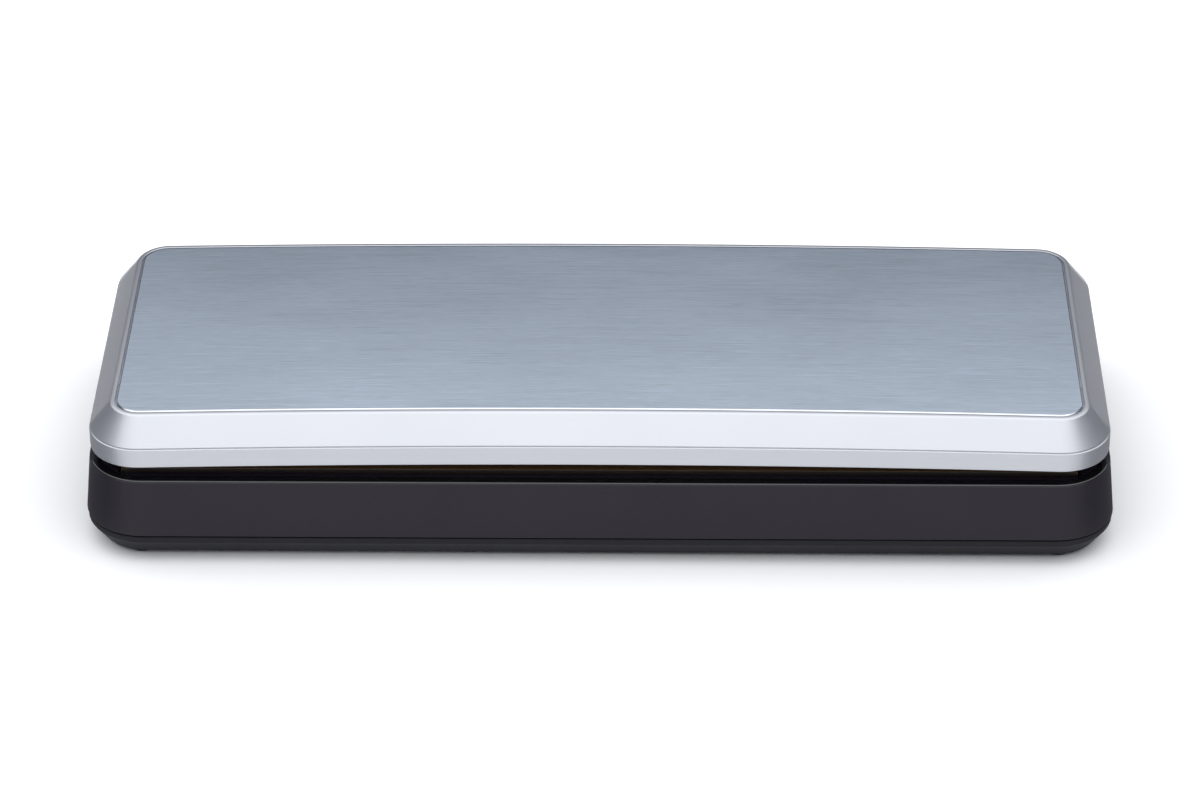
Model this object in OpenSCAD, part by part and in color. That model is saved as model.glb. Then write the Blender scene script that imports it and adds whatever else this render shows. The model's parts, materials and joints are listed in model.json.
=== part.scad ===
// A low, wide household vacuum sealer: a silver lid with an inlaid brushed plate, hinged at the rear of a
// black base that holds the sealing bar, the vacuum channel, the pump and the electrics. Millimetres, +Z up,
// front at -Y. The origin is on the table, under the middle of the base. The lid stands slightly ajar.

/* [Base housing] */
// Width of the housing across its top edge
base_w = 360; // [350:1:400]
// Depth of the housing across its top edge
base_d = 136; // [134:1:160]
// Radius of the housing's upright corners
base_corner_r = 19.6; // [17:0.1:22]
// Height of the leaning outer wall, from the seam to the deck
wall_h = 22; // [21.5:0.5:28]
// How far the wall leans out between the deck and the seam
wall_draft = 2.2; // [1.4:0.1:3]
// Thickness of the outer wall
wall_t = 2.4; // [2:0.1:2.8]
// Thickness of the deck
deck_t = 2.4; // [2:0.1:2.8]
// Rounding of the edge between wall and deck
edge_r = 1.4; // [0.8:0.1:2]

/* [Bottom tray] */
// Height of the tray, from its underside to the seam
tray_h = 9.3; // [8.5:0.1:12]
// Height of the upright band round the top of the tray
tray_band = 2.2; // [1:0.1:3]
// How far the tray's sides run in below that band
tray_lean = 4.6; // [3:0.1:6]
// Thickness of the tray's floor and sides
tray_t = 2.2; // [2:0.1:2.6]
// Height of the shadow groove between housing and tray
seam_h = 0.6; // [0.3:0.1:1]
// Width of one vent slot in the tray's floor
vent_w = 2.2; // [1.5:0.1:3]

/* [Feet] */
// Radius of a rubber foot
foot_r = 6; // [5:0.5:7]
// How far the feet stand below the tray
foot_drop = 2; // [1.5:0.1:3]
// Distance of the foot centres from the housing's end edges
foot_inset_x = 18; // [16:0.5:22]
// Distance of the foot centres from the housing's front and rear edges
foot_inset_y = 10.5; // [10:0.5:14]

/* [Lid frame] */
// Gap between the deck and the lid's lower edge at its ends, lid pressed shut
lid_gap = 1.8; // [1.6:0.1:2.4]
// How far the lid is set in from the housing's top edge
lid_inset = 0.6; // [0.2:0.1:1]
// Height of the upright band round the lid
band_h = 7.4; // [7:0.1:9]
// Height of the sloping border above the band
bevel_h = 9.7; // [9:0.1:12]
// Width of the sloping border, seen from above
bevel_run = 8; // [7:0.1:9]
// Width of the flat rim between the sloping border and the plate
rim_w = 1.6; // [1:0.1:2.4]
// Thickness of the lid's walls
lid_wall = 2.2; // [1.8:0.1:2.4]
// Thickness of the lid's top under the plate
lid_top_t = 2; // [1.6:0.1:2.4]
// Rise of the arched lid at the middle of its front edge
crown_front = 2.6; // [1:0.1:4]
// Rise of the arched lid at the middle of its rear edge
crown_rear = 2; // [1:0.1:4]
// Angle at which the lid stands ajar
open_angle = 1.2; // [0.4:0.1:2]

/* [Lid plate] */
// Thickness of the brushed plate
plate_t = 1; // [0.6:0.1:1.5]
// Width of the groove between the plate and the rim
plate_gap = 0.35; // [0.2:0.05:0.6]
// Bright cut edge round the top of the plate
plate_chamfer = 0.3; // [0.1:0.05:0.5]
// Thickness of the adhesive film under the plate
film_t = 0.1; // [0.05:0.05:0.2]

/* [Lid liner] */
// Height of the liner's underside above the deck, lid pressed shut
liner_lift = 4.4; // [4.2:0.1:5]
// Thickness of the liner
liner_t = 3; // [2.6:0.1:3.2]
// Clearance between the liner and the lid's walls
liner_gap = 0.3; // [0.2:0.05:0.6]

/* [Hinge] */
// Radius of the hinge rail and of the lid's knuckles
hinge_r = 4.4; // [4:0.1:4.6]
// Distance of the hinge axis from the housing's rear edge
hinge_inset = 6.5; // [6:0.1:7]
// Radius of the steel hinge pins
pin_r = 1.5; // [1:0.1:2]
// Radial clearance of a pin in the lid's knuckle
pin_play = 0.05; // [0.02:0.01:0.09]
// Width of one knuckle
knuckle_w = 24; // [16:1:32]
// Distance of a knuckle's middle from the housing's end edge
knuckle_inset = 68; // [55:1:100]
// Length of pin held in the rail on each side of a knuckle
pin_grip = 12; // [8:1:16]

/* [Sealing bar] */
// Distance of the bar's ends from the housing's end edges
bar_end_gap = 13; // [11:0.5:18]
// Width of the sealing bar
bar_w = 8; // [7:0.5:9]
// Distance of the bar from the housing's front edge
bar_inset = 6; // [5:0.5:7]
// How far the bar stands above the deck
bar_proud = 1.5; // [1:0.1:1.7]
// Depth of the bar's groove in the deck
bar_seat = 3; // [2:0.5:4]
// Width of the heating strip
strip_w = 3; // [2:0.5:4]
// Thickness of the heating strip
strip_t = 0.2; // [0.1:0.05:0.25]
// Thickness of the slippery tape over the heating strip
tape_t = 0.35; // [0.3:0.05:0.4]
// Gap between the tape and the pressure strip, lid pressed shut
press_gap = 0.35; // [0.3:0.05:0.6]

/* [Vacuum channel] */
// Distance of the channel's ends from the housing's end edges
channel_end_gap = 26; // [25:0.5:34]
// Width of the opening of the vacuum channel
channel_w = 19; // [17:0.5:21]
// Depth of the vacuum channel
channel_depth = 8; // [6.5:0.5:9]
// Thickness of the channel's walls and floor
channel_t = 1.6; // [1.2:0.1:2]
// Width of the foam gaskets
gasket_w = 5.5; // [4:0.5:6]
// How far the lower gasket stands above the deck
gasket_proud = 2; // [1.5:0.1:2.1]
// Depth of the gasket grooves
gasket_seat = 1; // [0.6:0.1:1.2]
// Gap between the two gaskets, lid pressed shut
gasket_gap = 0.3; // [0.3:0.05:0.8]
// Radius of the hose stubs
stub_r = 2.8; // [2.4:0.1:3]
// Wall thickness of the silicone hoses
hose_t = 1.5; // [1:0.1:2]

/* [Pump] */
// Distance of the motor's free end from the housing's left edge
pump_end_gap = 52; // [46:1:60]
// Distance of the pump and valve axes from the housing's rear edge
pump_inset = 42; // [38:0.5:44]
// Radius of the motor
motor_r = 12; // [11:0.1:12.4]
// Length of the motor
motor_l = 32; // [28:1:36]
// Length of the pump head
head_l = 28; // [24:1:30]
// Radius of the motor shaft
shaft_r = 1; // [0.8:0.1:1.5]
// Radial play of the shaft in its bearings
shaft_play = 0.05; // [0.02:0.01:0.09]
// Side of the release valve's square body
valve_side = 22; // [20:1:24]
// Distance between the pump head and the valve
valve_gap = 16; // [10:1:20]
// Travel of the valve's plunger
valve_travel = 1.5; // [1:0.1:2]

/* [Electrics] */
// Length of the power board
board_l = 88; // [80:1:92]
// Width of the power board
board_w = 54; // [50:1:56]
// Thickness of the circuit boards
board_t = 1.6; // [1:0.1:2]
// Distance of the power board from the housing's right edge
board_end_gap = 68; // [66:1:74]
// Distance of the power board from the housing's rear edge
board_inset = 24; // [22:0.5:28]
// Radius of a push button
button_r = 4.5; // [3.5:0.1:5]
// Distance between two buttons
button_pitch = 16; // [14:0.5:18]
// Travel of a push button
button_travel = 0.8; // [0.5:0.1:1.2]
// Travel of the pin that the lid presses
switch_travel = 2; // [1.5:0.1:2.5]
// Distance of the power inlet's middle from the housing's right edge
inlet_end_gap = 50; // [47:0.5:52]

/* [Hidden] */
$fn = 48;
arc_steps = 8;
long_spans = 16;
eps = 0.01;
fit = 0.2;
// levels
tray_z = foot_drop;
floor_z = tray_z + tray_t;
seam_z = tray_z + tray_h;
deck_z = seam_z + wall_h;
under_z = deck_z - deck_t;
tongue_t = 1.6;
front_y = -base_d / 2;
rear_y = base_d / 2;
end_x = base_w / 2;
// lid, pressed shut
lid_w = base_w - 2 * lid_inset;
lid_d = base_d - 2 * lid_inset;
lid_r = base_corner_r - lid_inset;
lid_z = deck_z + lid_gap;
band_z = lid_z + band_h;
rim_z = band_z + bevel_h;
bevel_slope = bevel_h / bevel_run;
bevel_shift = lid_wall * norm([bevel_run, bevel_h]) / bevel_run;
lid_top_z = rim_z - plate_t - film_t - lid_top_t;
inner_run = (lid_top_z - band_z + bevel_shift) / bevel_slope;
recess_inset = bevel_run + rim_w;
plate_inset = recess_inset + plate_gap;
notch_lip = 0.7;
liner_z = deck_z + liner_lift;
// hinge
hinge_y = rear_y - hinge_inset;
hinge_z = deck_z + hinge_r + 0.3;
rail_l = base_w - 2 * base_corner_r - 4;
knuckle_gap = 0.4;
pin_l = knuckle_w + 2 * pin_grip;
knuckle_x = end_x - knuckle_inset;
liner_rear_y = hinge_y - hinge_r - 1.6;
notch_y = hinge_y + 3;
// sealing bar and vacuum channel
bar_l = 2 * (end_x - bar_end_gap);
channel_l = 2 * (end_x - channel_end_gap);
bar_y = front_y + bar_inset + bar_w / 2;
bar_bed_t = 4;
leg_gap = 1.5;
ring_gap = 2.5;
channel_flange = 1.5;
ring_land = 1;
ring_d = channel_w + 2 * (channel_flange + ring_land + gasket_w);
ring_l = channel_l + 2 * (channel_flange + ring_land + gasket_w);
ring_y = bar_y + bar_w / 2 + ring_gap + ring_d / 2;
ring_r = 10;
channel_r = 2;
flange_t = 1.2;
channel_floor_z = deck_z - channel_depth;
// pump line
pump_x = -end_x + pump_end_gap;
pump_y = rear_y - pump_inset;
pump_z = floor_z + motor_r + 1;
head_r = motor_r + 0.5;
can_t = 0.8;
head_t = 2;
head_x = pump_x + motor_l;
nozzle_x = head_x + head_l - head_t - stub_r - 0.5;
valve_x = head_x + head_l + valve_gap + valve_side / 2;
stub_l = 8;
stub_bore_r = stub_r - 1.2;
port_y = ring_y + channel_w / 2 - fit;
pump_nozzle_y = pump_y - head_r;
valve_nozzle_y = pump_y - valve_side / 2;
sump_x = [nozzle_x - 8, valve_x + 8];
sump_depth = deck_z - pump_z + stub_r + 1;
armature_r = motor_r - can_t - 1.6;
// release valve
plunger_r = 3.6;
bore_r = plunger_r + 0.4;
valve_floor = 3;
valve_h = under_z - floor_z - 1;
cap_t = 2;
spring_closed_l = 9.9;
plunger_z = floor_z + valve_floor + 0.3;
plunger_l = floor_z + valve_h - cap_t - plunger_z - spring_closed_l - valve_travel;
spring_z = plunger_z + plunger_l;
spring_top = floor_z + valve_h - cap_t;
spring_wire = 0.35;
spring_turns = 4;
// electrics
standoff_h = 5;
board_z = floor_z + standoff_h;
board_top = board_z + board_t;
board_x = end_x - board_end_gap - board_l;
board_y = rear_y - board_inset - board_w;
button_z = seam_z + wall_h / 2;
button_y = 2;
flange_r = button_r + 1.2;
button_flange_t = 1.2;
button_x = wall_x(button_z + flange_r) - wall_t - 0.3;
tact_t = 3.6;
tact_bore_r = 1.6;
stem_r = 1.2;
tact_x = button_x - button_flange_t - button_travel - 0.3 - tact_t;
panel_x = tact_x - board_t;
// transformer core, capacitors and heat sink on the power board
core_l = 26;
core_w = 20;
core_h = 17;
core_t = 3;
winding_gap = 4;
big_capacitor_r = 7;
big_capacitor_h = 16;
small_capacitor_r = 4;
small_capacitor_h = 12;
sink_h = 15;
sink_t = 2;
fin_l = 10;
fin_pitch = 4.8;
panel_l = 62;
panel_h = 16;
panel_y = button_y - 5;
lens_r = 1.5;
lens_y = button_y - 2 * button_pitch + 2;
switch_x = end_x - 30;
switch_y = rear_y - 32;
switch_l = 17;
switch_w = 8;
switch_h = 10;
pin_top = deck_z + liner_lift - 0.4;
button_pin_r = 2;
collar_r = 3;
collar_t = 1;
switch_top = under_z - 0.3 - collar_t - switch_travel - 0.2;
inlet_x = end_x - inlet_end_gap;
inlet_z = seam_z + wall_h / 2 - 1;
inlet_w = 24;
inlet_h = 15;
inlet_l = 20;
inlet_lobe_r = 4.3;
inlet_depth = 13;
inlet_pin_r = 1.2;
inlet_y = wall_y(inlet_z);
// fasteners: case screws, lid screws, rail screws
case_boss_r = 4;
case_bore_r = 1.3;
case_screw_z = floor_z + 2;
case_spots = [for (s = [-1, 1]) each [[s * (end_x - 11), front_y + 22],
    [s * (end_x - 15), rear_y - 22], [s * (end_x - 140), rear_y - 14]]];
lid_boss_r = 3.5;
lid_bore_r = 1.25;
lid_spots = [for (s = [-1, 1]) each [[s * (end_x - 12), front_y + 34], [s * (end_x - 30), rear_y - 34],
    [s * (end_x - 130), rear_y - 34]]];
rail_spots = [for (s = [-1, 1], inset = [40, 110]) [s * (end_x - inset), hinge_y]];
case_head_r = 2.9;
case_head_h = 1.6;
lid_head_r = 2.8;
lid_head_h = 1.4;
board_screw_r = 1.1;
board_head_r = 2.4;
board_head_h = 1.4;
board_spots = [for (x = [4, board_l - 4], y = [4, board_w - 4]) [board_x + x, board_y + y]];

function lerp(a, b, t) = a + (b - a) * t;
function wall_x(z) = end_x + wall_draft * (deck_z - z) / wall_h;
function wall_y(z) = rear_y + wall_draft * (deck_z - z) / wall_h;
// rise of the arched lid over a point
function rise(x, y) = lerp(crown_front, crown_rear, (y - front_y) / base_d) * (1 - pow(2 * x / base_w, 2));
// half outline of a rounded rectangle, left to right, as [x, distance from the long axis]
function half_outline(w, d, r) = concat(
    [for (i = [0:arc_steps]) let (a = 90 * i / arc_steps) [-w / 2 + r - r * cos(a), d / 2 - r + r * sin(a)]],
    [for (i = [1:long_spans - 1]) [lerp(-w / 2 + r, w / 2 - r, i / long_spans), d / 2]],
    [for (i = [0:arc_steps]) let (a = 90 - 90 * i / arc_steps)
        [w / 2 - r + r * cos(a), d / 2 - r + r * sin(a)]]);
// one level ring of a loft; arch = 1 lifts it by the lid's crown
function ring(w, d, r, z, arch = 0) = let (h = half_outline(w, d, r), n = len(h)) concat(
    [for (i = [0:n - 1]) [h[i].x, -h[i].y, z + arch * rise(h[i].x, -h[i].y)]],
    [for (i = [n - 1:-1:0]) [h[i].x, h[i].y, z + arch * rise(h[i].x, h[i].y)]]);
function unit(v) = v / norm(v);
// rounds the corners of a route by cutting each one twice
function eased(p) = concat([p[0]], [for (i = [0:len(p) - 2]) each
    [lerp(p[i], p[i + 1], 0.25), lerp(p[i], p[i + 1], 0.75)]], [p[len(p) - 1]]);
function heading(p, i) = i == 0 ? unit(p[1] - p[0]) : i == len(p) - 1 ? unit(p[i] - p[i - 1]) :
    unit(unit(p[i + 1] - p[i]) + unit(p[i] - p[i - 1]));

// solid through a stack of rings, lowest first
module loft(rings) {
    m = len(rings[0]);
    n = m / 2;
    top = (len(rings) - 1) * m;
    sides = [for (k = [0:len(rings) - 2], i = [0:m - 1])
        let (a = k * m + i, b = k * m + (i + 1) % m) each [[a, a + m, b + m], [a, b + m, b]]];
    low = [for (i = [0:n - 2]) let (a = i, b = m - 1 - i) each [[a, a + 1, b - 1], [a, b - 1, b]]];
    high = [for (i = [0:n - 2]) let (a = top + i, b = top + m - 1 - i) each
        [[a, b, b - 1], [a, b - 1, a + 1]]];
    polyhedron([for (r = rings) each r], concat(sides, low, high));
}

// round wire or rod along a route
module sweep(route, r, sides = 8) {
    n = len(route);
    points = [for (i = [0:n - 1]) let (t = heading(route, i), u = unit(cross(t, [0.21, 0.13, 1])),
        v = cross(u, t)) each [for (k = [0:sides - 1]) route[i] + r * (u * cos(360 * k / sides)
        + v * sin(360 * k / sides))]];
    walls = [for (i = [0:n - 2], k = [0:sides - 1])
        let (a = i * sides + k, b = i * sides + (k + 1) % sides) each
        [[a, b, b + sides], [a, b + sides, a + sides]]];
    start = [for (k = [sides - 1:-1:0]) k];
    finish = [for (k = [0:sides - 1]) (n - 1) * sides + k];
    polyhedron(points, concat(walls, [start], [finish]));
}

module round_rect(w, d, r) {
    square([w - 2 * r, d], center = true);
    square([w, d - 2 * r], center = true);
    for (x = [-1, 1], y = [-1, 1]) translate([x * (w / 2 - r), y * (d / 2 - r)]) circle(r);
}

module round_box(w, d, r, z, h) translate([0, 0, z]) linear_extrude(h) round_rect(w, d, r);

// box from a low corner to a high corner
module span(a, b) translate(a) cube(b - a);

module along_x(x, y, z, r, l) translate([x, y, z]) rotate([0, 90, 0]) cylinder(r = r, h = l);

module along_y(x, y, z, r, l) translate([x, y, z]) rotate([-90, 0, 0]) cylinder(r = r, h = l);

// turns what belongs to the lid from pressed shut to ajar
module ajar() translate([0, hinge_y, hinge_z]) rotate([-open_angle, 0, 0])
    translate([0, -hinge_y, -hinge_z]) children();

module seal_ring(z, h) translate([0, ring_y, z]) linear_extrude(h) difference() {
    round_rect(ring_l, ring_d, ring_r);
    round_rect(ring_l - 2 * gasket_w, ring_d - 2 * gasket_w, ring_r - gasket_w);
}

// screw pointing up, head below z
module screw(x, y, z, r, head_r, head_h, l) translate([x, y, z]) {
    cylinder(r = r, h = l);
    difference() {
        translate([0, 0, -head_h]) cylinder(r = head_r, h = head_h);
        for (a = [0, 90]) rotate(a) translate([-head_r * 0.6, -0.4, -head_h - eps])
            cube([head_r * 1.2, 0.8, head_h * 0.6]);
    }
}

// ---- base ----

module base_housing() color([0.10, 0.10, 0.11]) difference() {
    union() {
        difference() {
            loft(concat([ring(base_w + 2 * wall_draft, base_d + 2 * wall_draft, base_corner_r + wall_draft,
                seam_z)], [for (a = [0:22.5:90]) let (s = edge_r * (1 - cos(a)))
                ring(base_w - 2 * s, base_d - 2 * s, base_corner_r - s, deck_z - edge_r + edge_r * sin(a))]));
            loft([for (z = [seam_z - 1, under_z]) ring(2 * (wall_x(z) - wall_t), 2 * (wall_y(z) - wall_t),
                base_corner_r - wall_t + wall_x(z) - end_x, z)]);
        }
        span([-bar_l / 2 - 4, bar_y - bar_w / 2 - 2, under_z - bar_bed_t],
            [bar_l / 2 + 4, bar_y + bar_w / 2 + 2, under_z + eps]);
        for (p = case_spots) translate([p.x, p.y, case_screw_z]) cylinder(r = case_boss_r,
            h = under_z - case_screw_z + eps);
        for (s = [-1, 1]) translate([panel_x + board_t / 2, panel_y + s * (panel_l / 2 + 1), 0])
            span([-3, -2, floor_z + 4], [3, 2, under_z + eps]);
        for (s = [-1, 1]) translate([switch_x + s * (switch_l / 2 + 1), switch_y, 0])
            span([-1, -switch_w / 2, switch_top - switch_h], [1, switch_w / 2, under_z + eps]);
    }
    span([-bar_l / 2 - leg_gap, bar_y - bar_w / 2, deck_z - bar_seat],
        [bar_l / 2 + leg_gap, bar_y + bar_w / 2, deck_z + 1]);
    for (s = [-1, 1]) translate([s * (bar_l / 2 + leg_gap / 2), bar_y, under_z - bar_bed_t - 1])
        span([-leg_gap / 2, -strip_w / 2 - 0.3, 0], [leg_gap / 2, strip_w / 2 + 0.3, bar_bed_t + 4]);
    seal_ring(deck_z - gasket_seat, gasket_seat + 1);
    translate([0, ring_y, 0]) {
        round_box(channel_l, channel_w, channel_r, under_z - 1, deck_t + 2);
        round_box(channel_l + 2 * channel_flange, channel_w + 2 * channel_flange,
            channel_r + channel_flange, deck_z - flange_t, flange_t + 1);
    }
    for (p = case_spots) translate([p.x, p.y, case_screw_z - 1]) cylinder(r = case_bore_r, h = 16);
    for (p = rail_spots) translate([p.x, p.y, under_z - 1]) cylinder(r = case_bore_r, h = deck_t + 2);
    for (s = [-1, 1]) translate([panel_x, panel_y + s * panel_l / 2, 0])
        span([-0.05, -1, floor_z], [board_t + 0.05, 1, button_z + panel_h / 2 + 0.05]);
    translate([switch_x, switch_y, under_z - 1]) cylinder(r = button_pin_r + 0.3, h = deck_t + 2);
    for (i = [-1:1]) along_x(end_x - 8, button_y + i * button_pitch, button_z, button_r + 0.3, 20);
    along_x(end_x - 8, lens_y, button_z, lens_r, 20);
    translate([inlet_x, inlet_y - inlet_l, inlet_z]) span([-inlet_w / 2 - 0.1, 0, -inlet_h / 2 - 0.1],
        [inlet_w / 2 + 0.1, inlet_l + 10, inlet_h / 2 + 0.1]);
}

module bottom_tray() color([0.12, 0.12, 0.13]) difference() {
    top_w = base_w + 2 * wall_draft - 0.8;
    top_d = base_d + 2 * wall_draft - 0.8;
    top_r = base_corner_r + wall_draft - 0.4;
    tongue = 2 * (wall_t + fit);
    inner = tongue + 2 * tongue_t;
    band_low = seam_z - seam_h - tray_band;
    union() {
        difference() {
            loft([ring(top_w - 2 * tray_lean, top_d - 2 * tray_lean, top_r - tray_lean, tray_z),
                ring(top_w, top_d, top_r, band_low), ring(top_w, top_d, top_r, seam_z - seam_h)]);
            loft([ring(top_w - 2 * (tray_lean + tray_t), top_d - 2 * (tray_lean + tray_t),
                top_r - tray_lean - tray_t, floor_z),
                for (z = [band_low, seam_z]) ring(top_w - inner, top_d - inner, top_r - inner / 2, z)]);
        }
        translate([0, 0, seam_z - seam_h - 1.4]) linear_extrude(seam_h + 3) difference() {
            round_rect(top_w - tongue, top_d - tongue, top_r - tongue / 2);
            round_rect(top_w - inner, top_d - inner, top_r - inner / 2);
        }
        for (p = case_spots) translate([p.x, p.y, floor_z - eps]) cylinder(r = case_boss_r + 1,
            h = case_screw_z - floor_z + eps);
        for (p = board_spots) translate([p.x, p.y, floor_z - eps]) cylinder(r = 3, h = standoff_h + eps);
    }
    for (p = case_spots) translate([p.x, p.y, tray_z - 1]) {
        cylinder(r = case_bore_r + 0.4, h = 12);
        cylinder(r = case_head_r + fit, h = 3.2);
    }
    for (p = board_spots) translate([p.x, p.y, floor_z + 0.6]) cylinder(r = board_screw_r, h = standoff_h);
    for (x = [-1, 1], y = [-1, 1]) translate([x * (end_x - foot_inset_x),
        y * (rear_y - foot_inset_y), tray_z - 1]) cylinder(r = 2.5, h = tray_t + 2);
    for (i = [0:9]) translate([pump_x - 6 + i * 8, pump_y, tray_z - 1])
        span([-vent_w / 2, -14, 0], [vent_w / 2, 14, tray_t + 2]);
    for (i = [0:9]) translate([board_x + 8 + i * 8, board_y + board_w / 2, tray_z - 1])
        span([-vent_w / 2, -14, 0], [vent_w / 2, 14, tray_t + 2]);
}

module foot(sx, sy) color([0.05, 0.05, 0.05])
    translate([sx * (end_x - foot_inset_x), sy * (rear_y - foot_inset_y), 0]) {
        rotate_extrude() polygon(concat([[0, 0], [foot_r - 1.4, 0]], [for (a = [-60:30:0])
            [foot_r - 1.4 + 1.4 * cos(a), 1.4 + 1.4 * sin(a)]], [[foot_r, foot_drop], [0, foot_drop]]));
        translate([0, 0, foot_drop - eps]) cylinder(r = 2.5, h = tray_t + 1);
    }

module case_screws() color([0.6, 0.6, 0.62]) {
    for (p = case_spots) screw(p.x, p.y, tray_z + 2.2, case_bore_r, case_head_r, case_head_h,
        case_screw_z - tray_z + 9);
    for (p = rail_spots) screw(p.x, p.y, under_z, case_bore_r, case_head_r, case_head_h, deck_t + 3.5);
    for (p = board_spots) translate([p.x, p.y, board_top]) rotate([180, 0, 0])
        screw(0, 0, 0, board_screw_r, board_head_r, board_head_h, board_t + 4);
}

module vacuum_channel() color([0.13, 0.13, 0.14]) difference() {
    wall_w = channel_w - 2 * fit;
    union() {
        translate([0, ring_y, 0]) {
            round_box(channel_l + 2 * channel_flange - fit, channel_w + 2 * channel_flange - fit,
                channel_r + channel_flange - fit / 2, deck_z - flange_t, flange_t);
            round_box(channel_l - 2 * fit, wall_w, channel_r - fit, channel_floor_z - channel_t,
                channel_depth + channel_t - eps);
        }
        span([sump_x[0] - channel_t, port_y - wall_w, deck_z - sump_depth - channel_t],
            [sump_x[1] + channel_t, port_y, channel_floor_z]);
        for (x = [nozzle_x, valve_x]) along_y(x, port_y - eps, pump_z, stub_r, stub_l);
    }
    translate([0, ring_y, 0]) round_box(channel_l - 2 * fit - 2 * channel_t, wall_w - 2 * channel_t, 0.8,
        channel_floor_z, channel_depth + 1);
    span([sump_x[0], port_y - wall_w + channel_t, deck_z - sump_depth],
        [sump_x[1], port_y - channel_t, channel_floor_z + 1]);
    for (x = [nozzle_x, valve_x]) along_y(x, port_y - 3, pump_z, stub_bore_r, stub_l + 6);
}

module lower_gasket() color([0.20, 0.20, 0.21]) seal_ring(deck_z - gasket_seat, gasket_seat + gasket_proud);

module sealing_bar() color([0.16, 0.15, 0.14])
    span([-bar_l / 2, bar_y - bar_w / 2, deck_z - bar_seat],
        [bar_l / 2, bar_y + bar_w / 2, deck_z + bar_proud]);

module heating_strip() color([0.75, 0.73, 0.68]) {
    z = deck_z + bar_proud;
    span([-bar_l / 2 - 0.1, bar_y - strip_w / 2, z], [bar_l / 2 + 0.1, bar_y + strip_w / 2, z + strip_t]);
    for (s = [-1, 1]) translate([s * (bar_l / 2 + 0.1 + strip_t / 2), bar_y, 0])
        span([-strip_t / 2, -strip_w / 2, under_z - bar_bed_t], [strip_t / 2, strip_w / 2, z + strip_t]);
}

module slip_tape() color([0.45, 0.31, 0.18]) difference() {
    z = deck_z + bar_proud;
    span([-bar_l / 2, bar_y - bar_w / 2, z], [bar_l / 2, bar_y + bar_w / 2, z + tape_t]);
    span([-bar_l / 2 - 1, bar_y - strip_w / 2, z - 1], [bar_l / 2 + 1, bar_y + strip_w / 2, z + strip_t]);
}

module strip_terminals() color([0.80, 0.62, 0.28]) for (s = [-1, 1])
    translate([s * (bar_l / 2 + leg_gap / 2), bar_y, under_z - bar_bed_t])
        difference() {
            span([-2.5, -3.5, -5], [2.5, 3.5, 0]);
            translate([0, -4, -2.5]) rotate([-90, 0, 0]) cylinder(r = 1, h = 5);
        }

module hinge_rail() color([0.09, 0.09, 0.10]) difference() {
    union() {
        along_x(-rail_l / 2, hinge_y, hinge_z, hinge_r, rail_l);
        span([-rail_l / 2, hinge_y - hinge_r, deck_z], [rail_l / 2, hinge_y + hinge_r, hinge_z]);
    }
    for (s = [-1, 1]) translate([s * knuckle_x, hinge_y, deck_z]) {
        w = knuckle_w / 2 + knuckle_gap;
        span([-w, -hinge_r - 1, -1], [w, hinge_r + 1, 2 * hinge_r + 2]);
    }
    for (s = [-1, 1]) along_x(s * knuckle_x - pin_l / 2, hinge_y, hinge_z, pin_r, pin_l);
    for (p = rail_spots) translate([p.x, p.y, deck_z - 1]) cylinder(r = case_bore_r, h = 4.5);
}

module hinge_pin(s) color([0.70, 0.71, 0.73])
    along_x(s * knuckle_x - pin_l / 2 + 0.1, hinge_y, hinge_z, pin_r, pin_l - 0.2);

// ---- pump line ----

module pump_cradle() color([0.06, 0.06, 0.06]) difference() {
    span([pump_x + 5, pump_y - motor_r, floor_z],
        [pump_x + motor_l - 5, pump_y + motor_r, pump_z - motor_r / 2]);
    along_x(pump_x, pump_y, pump_z, motor_r, motor_l);
}

module pump_motor_can() color([0.62, 0.63, 0.65]) difference() {
    along_x(pump_x, pump_y, pump_z, motor_r, motor_l);
    along_x(pump_x - 1, pump_y, pump_z, motor_r - can_t, motor_l - 1);
    along_x(pump_x, pump_y, pump_z, shaft_r + shaft_play, motor_l + 1);
}

module motor_end_cap() color([0.15, 0.15, 0.16]) difference() {
    union() {
        along_x(pump_x, pump_y, pump_z, motor_r - can_t, 3);
        along_x(pump_x - 3, pump_y, pump_z, 4, 3.1);
    }
    along_x(pump_x - 2, pump_y, pump_z, shaft_r + shaft_play, 6);
}

module pump_rotor() color([0.50, 0.42, 0.30]) {
    along_x(pump_x - 1, pump_y, pump_z, shaft_r, motor_l + 6);
    along_x(pump_x + 6, pump_y, pump_z, armature_r, motor_l - 12);
    along_x(head_x + 3, pump_y, pump_z, 6, 5);
    along_x(head_x + 7.9, pump_y + 3, pump_z, 1.2, 4);
}

module pump_head() color([0.18, 0.18, 0.20]) difference() {
    union() {
        along_x(head_x, pump_y, pump_z, head_r, head_l);
        along_y(nozzle_x, pump_nozzle_y - stub_l, pump_z, stub_r, stub_l + head_t);
    }
    along_x(head_x - 1, pump_y, pump_z, head_r - head_t, head_l - head_t + 1);
    along_y(nozzle_x, pump_nozzle_y - stub_l - 1, pump_z, stub_bore_r, stub_l + head_t + 4);
}

module pump_diaphragm() color([0.08, 0.08, 0.08]) {
    along_x(nozzle_x - stub_r - 3, pump_y, pump_z, head_r - head_t, 1.5);
    along_x(nozzle_x - stub_r - 4.5, pump_y, pump_z, 5, 1.6);
}

// straight silicone hose over two stubs
module hose(x, y0, y1) color([0.85, 0.86, 0.85]) difference() {
    along_y(x, y0, pump_z, stub_r + hose_t, y1 - y0);
    along_y(x, y0 - 1, pump_z, stub_r, y1 - y0 + 2);
}

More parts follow.
